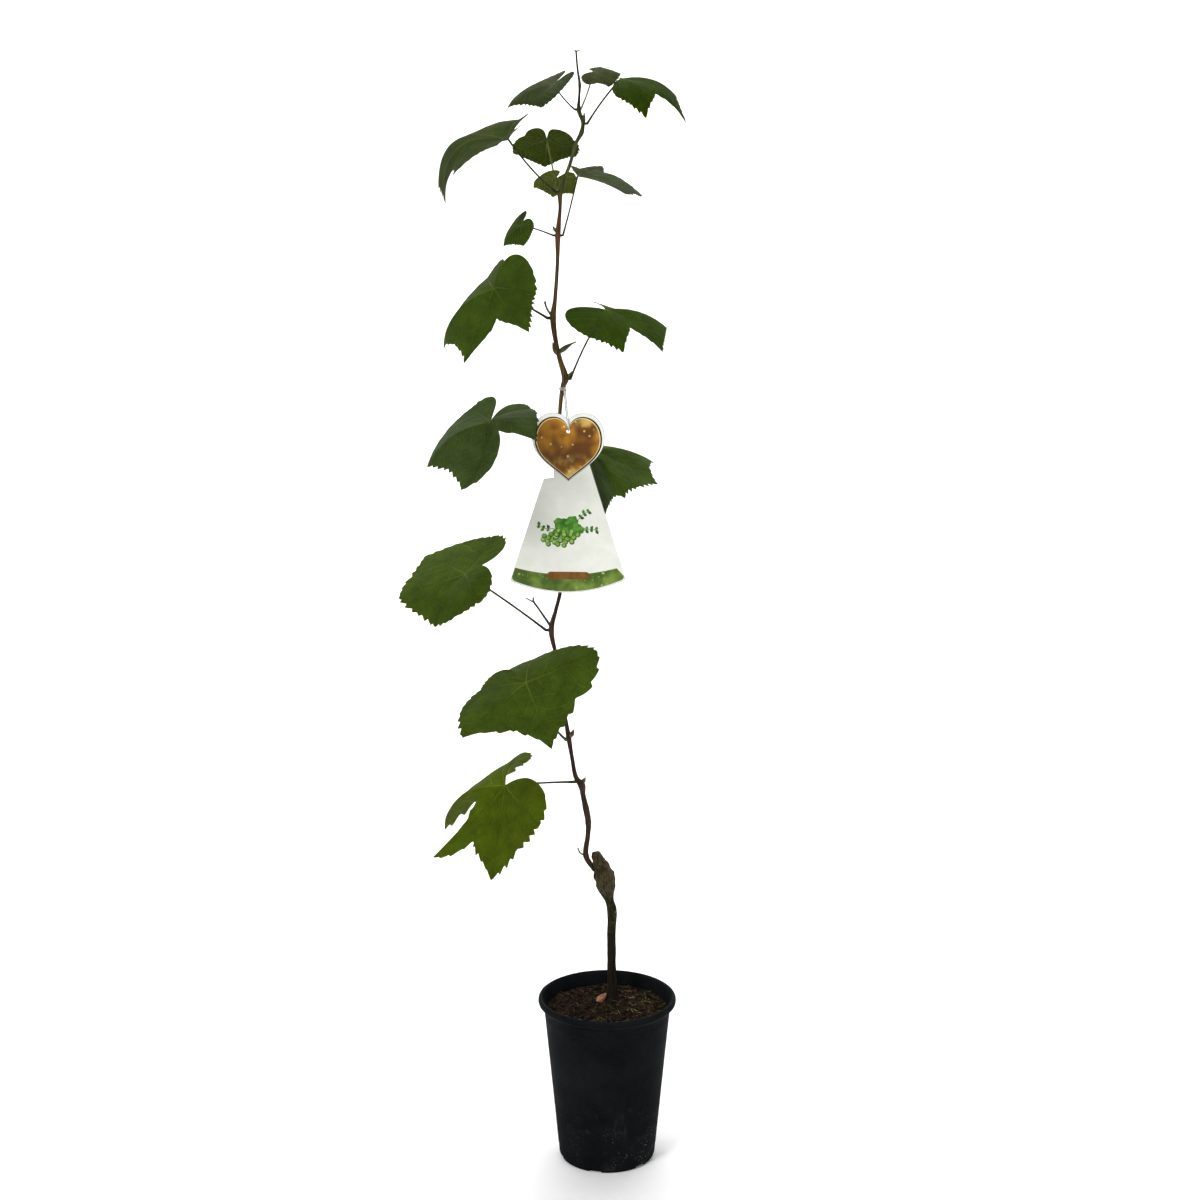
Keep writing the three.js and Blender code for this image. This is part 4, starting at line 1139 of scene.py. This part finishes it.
def make_tag():
    """A heart on a fan-shaped skirt, both white card, with printed areas as thin raised layers."""
    face = TAG_THICKNESS
    skirt_face = face - 0.1 * MM
    ink = 0.035 * MM
    edge = card_look("tag_edge", (112, 114, 110), (140, 142, 138), gloss=0.5)
    white = card_look("tag_white", (236, 237, 232), (242, 243, 238), gloss=0.4)
    pale = card_look("tag_pale", (234, 235, 225), (240, 241, 232), gloss=0.4)
    dark = card_look("tag_dark_line", (36, 22, 8), (52, 34, 14))
    gold = card_look("tag_gold_line", (226, 192, 128), (240, 214, 160))
    wood = card_look("tag_plaque", (104, 62, 18), (134, 92, 42), scale=50)
    hole = circle(0, TAG_HOLE_HEIGHT, TAG_HOLE)
    plate("tag_heart", heart_outline(41, 78, 9), 0, face, edge, [hole], ["tag"])
    plate("tag_skirt", skirt_outline(), 0.05 * MM, skirt_face, edge)
    layers = (
        ("tag_heart_border", heart_outline(40.5, 77, 9.4, 0.6), white),
        ("tag_heart_rim", heart_outline(38, 72.4, 13.5, 1.2), dark),
        ("tag_heart_line", heart_outline(36.2, 69.0, 13.5, 3.2), gold),
        ("tag_heart_face", heart_outline(35.2, 66.9, 13.5, 4.3), amber_look()),
    )
    hole = circle(0, TAG_HOLE_HEIGHT, TAG_HOLE + 0.1)
    for level, (name, outline, look) in enumerate(layers):
        plate(name, outline, face + level * ink, face + (level + 1) * ink, look, [hole])
    right, left = circle(19.5, -108.5, 4.3), circle(-20.5, -108.5, 4.3)
    layers = (
        ("tag_skirt_border", skirt_outline(0.5), white),
        ("tag_panel", skirt_outline(1.8), pale),
        ("tag_band", band_outline(), meadow_look()),
        ("tag_plaque", np.vstack([right[21:], right[:8], left[7:22]]), wood),
    )
    for level, (name, outline, look) in enumerate(layers):
        plate(name, outline, skirt_face + level * ink, skirt_face + (level + 1) * ink, look)
    make_print(skirt_face + 2 * ink, ink)


def slab(soup, outline, low, high, slot):
    """A closed flat slab in the tag's plane, its outline in millimetres."""
    x, y = np.asarray(outline, dtype=float).T
    if np.dot(x, np.roll(y, -1)) < np.dot(y, np.roll(x, -1)):
        x, y = x[::-1], y[::-1]
    count = len(x)
    stand = tag_stand()
    points = [stand @ Vector((a * MM, b * MM, depth)) for depth in (low, high) for a, b in zip(x, y)]
    faces = [tuple(reversed(range(count))), tuple(range(count, 2 * count))]
    faces += [(i, (i + 1) % count, count + (i + 1) % count, count + i) for i in range(count)]
    soup.add(points, faces, slot)


def make_print(low, ink):
    """A plain printed bunch: one lobed leaf, round berries over it, and three sprays of leaflets."""
    looks = [
        card_look("print_stem", (84, 104, 46), (110, 130, 66)),
        card_look("print_leaf", (44, 104, 22), (100, 158, 58), scale=150),
        card_look("print_leaf_dark", (44, 84, 28), (76, 118, 48), scale=200),
        card_look("print_berry", (48, 86, 20), (84, 126, 40), scale=260),
        card_look("print_berry_light", (112, 152, 58), (160, 196, 104), scale=260),
    ]
    soup = Soup()
    turn = np.linspace(0, 2 * math.pi, 90, endpoint=False)
    radius = 13.5 * (1 + 0.15 * np.cos(5 * turn + 0.6) + 0.04 * np.cos(17 * turn))
    leaf = np.column_stack([1.25 * radius * np.cos(turn) - 1, radius * np.sin(turn) - 54])
    slab(soup, leaf, low, low + ink, 1)
    sprays = (((10, -46), (24, -34)), ((-16, -54), (-35, -50)), ((14, -58), (33, -56)))
    for number, (start, end) in enumerate(np.array(sprays)):
        span = end - start
        heading = math.degrees(math.atan2(span[1], span[0]))
        side = np.array([-span[1], span[0]]) * 0.12
        path = [start + span * t + side * math.sin(math.pi * t) for t in np.linspace(0, 1, 11)]
        slab(soup, ribbon(path, 0.7), low, low + ink, 0)
        for k in (3, 6, 9):
            for way in (-1, 1):
                turn = heading + (62 + 9 * math.sin(3.7 * k + way)) * way
                outline = leaflet(*path[k], turn, 4.6 + math.sin(5.1 * k + 2 * way + number), 3.6)
                slab(soup, outline, low, low + ink, 1 if way > 0 else 2)
    count = 24
    for k in range(count):
        # A spiral of berries, narrower towards its lower left end.
        share = math.sqrt((k + 0.5) / count)
        x = -10 + 22 * share * math.cos(2.4 * k)
        y = -65 + 10.5 * share * math.sin(2.4 * k) * (0.7 + 0.3 * (x + 32) / 42) + 0.12 * (x + 10)
        level = low + (1 + k % 4) * ink
        radius = 3.5 - 0.5 * share
        slab(soup, circle(x, y, radius, 16), level, level + ink, 3)
        slab(soup, circle(x - 0.4, y + 0.5, 0.68 * radius, 14), level + ink, level + 1.5 * ink, 4)
    soup.piece("tag_print", looks, slot="tag_card", smooth=False)


STRING_RADIUS = 0.7 * MM
STRING_HEIGHT = 931 * MM


def twisted(middle, turns):
    """Three plies round a middle line: a slim tube whose skin winds along it."""
    def relief(angle, share, z):
        return 0.16 * MM * np.cos(3 * angle + turns * 2 * math.pi * share)

    return tube(middle, np.full(len(middle), STRING_RADIUS * 0.88), 12, relief)


def make_string():
    """A loop round the shoot, a small knot, and the double strand through the tag's hole."""
    look = Look("white_string", roughness=0.85, specular=0.1)
    fibre = look.noise(look.place(), 1500, detail=4)
    look.paint(fibre, (150, 152, 148), (214, 215, 210), 0.35, 0.7)
    look.bump(fibre, 0.0003, 0.6)
    at, radius = on_shoot(STRING_HEIGHT)
    ring = radius + STRING_RADIUS + 0.4 * MM
    knot = at + np.array([2.5 * MM, -ring - 0.6 * MM, -MM])
    soup = Soup()
    turn = np.linspace(0, 2 * math.pi, 60)
    for lift, tilt in ((0.5, 0.9), (-0.8, -0.6)):
        height = (lift + tilt * np.sin(turn + 0.6)) * MM
        loop = np.column_stack([ring * np.sin(turn), -ring * np.cos(turn), height]) + at
        soup.add(*twisted(loop, 12))
    bow = [(-1.8, -0.2, 0.6), (0.2, -1.2, 1.2), (1.6, -0.4, -0.2)]
    bow += [(0, 0.9, -0.8), (-1.2, -0.8, -0.6), (0.9, -1.1, 0.4)]
    soup.add(*twisted(spline(knot + np.array(bow) * MM, 50), 9))
    # The strand goes down in front of the tag, through its hole and up again behind it.
    hole = TAG_CENTRE + np.array([0, 0, TAG_HOLE_HEIGHT]) * MM
    middle = (knot + hole) / 2
    bend = [(0, -TAG_THICKNESS / MM / 2, TAG_HOLE - 1.15)]
    front = [(0.9, -3.4, 5), (0.4, -2.4, 2)]
    behind = [(-0.4, 1.5, 2), (-0.9, 2.1, 5)]
    strand = [knot + np.array([0.8, 0, 0]) * MM, middle + np.array([0.9, -2.5, 0]) * MM]
    strand += [hole + np.array(p) * MM for p in front + bend + behind]
    strand += [middle + np.array([-0.9, 2.3, 0]) * MM, knot + np.array([-0.8, 0, 0]) * MM]
    soup.add(*twisted(spline(strand, 220), 50))
    soup.piece("tag_string", [look.material], replaces=["tag_string"], slot="string")


# ---------------------------------------------------------------- floor, light and camera
def make_stage():
    """A pale floor that curves up into a back wall."""
    look = Look("pale_floor", roughness=0.9, specular=0.1)
    look.colour((250, 250, 250))
    mesh = bpy.data.meshes.new("floor")
    half, back, high, cove = 4.0, 3.0, 5.0, 1.2
    profile = [(-5.0, 0.0), (back - cove, 0.0)]
    for turn in np.linspace(0.1, math.pi / 2, 14):
        profile.append((back - cove * (1 - math.sin(turn)), cove * (1 - math.cos(turn))))
    profile.append((back, high))
    points = [(x, y, z) for y, z in profile for x in (-half, half)]
    faces = [(2 * i, 2 * i + 1, 2 * i + 3, 2 * i + 2) for i in range(len(profile) - 1)]
    mesh.from_pydata(points, [], faces)
    mesh.materials.append(look.material)
    mesh.polygons.foreach_set("use_smooth", [True] * len(mesh.polygons))
    floor = bpy.data.objects.new("floor", mesh)
    bpy.context.scene.collection.objects.link(floor)


def area_light(name, place, target, size, power):
    light = bpy.data.lights.new(name, "AREA")
    light.shape = "DISK"
    light.size = size
    light.energy = power
    made = bpy.data.objects.new(name, light)
    made.location = place
    made.rotation_euler = (Vector(target) - Vector(place)).to_track_quat("-Z", "Y").to_euler()
    bpy.context.scene.collection.objects.link(made)


PLANT_MIDDLE = (0, 0, PLANT_TOP * 0.55)
# Name, place, target, diameter and power in watts.
LIGHTS = (
    ("key", (-3.2, -4.0, 4.8), PLANT_MIDDLE, 2.6, 262),
    ("fill", (3.6, -3.6, 2.8), PLANT_MIDDLE, 2.6, 62),
    ("top", (0.3, -0.5, 5.6), PLANT_MIDDLE, 2.4, 34),
    ("backdrop", (0, 1.0, 2.8), (0, 3.0, 1.2), 2.6, 105),
)
WORLD_STRENGTH = 0.22
CAMERA_PLACE = (-0.0085, -2.6, 1.3)
CAMERA_DIP = math.radians(13.26)


def make_light_and_camera():
    scene = bpy.context.scene
    world = bpy.data.worlds.new("studio")
    world.use_nodes = True
    background = world.node_tree.nodes["Background"].inputs
    background["Color"].default_value = (1, 1, 1, 1)
    background["Strength"].default_value = WORLD_STRENGTH
    scene.world = world
    for row in LIGHTS:
        area_light(*row)
    scene.view_settings.view_transform = "Standard"
    camera = bpy.data.cameras.new("camera")
    camera.lens = 70
    camera.sensor_width = 36
    made = bpy.data.objects.new("camera", camera)
    made.location = CAMERA_PLACE
    made.rotation_euler = (math.pi / 2 - CAMERA_DIP, 0, 0)
    scene.collection.objects.link(made)
    scene.camera = made


make_light_and_camera()
make_stage()
make_pot()
make_compost()
make_trunk(old_bark_look())
make_shoot(young_bark_look())
make_buds()
make_tendril()
make_leaves()
make_tag()
make_string()
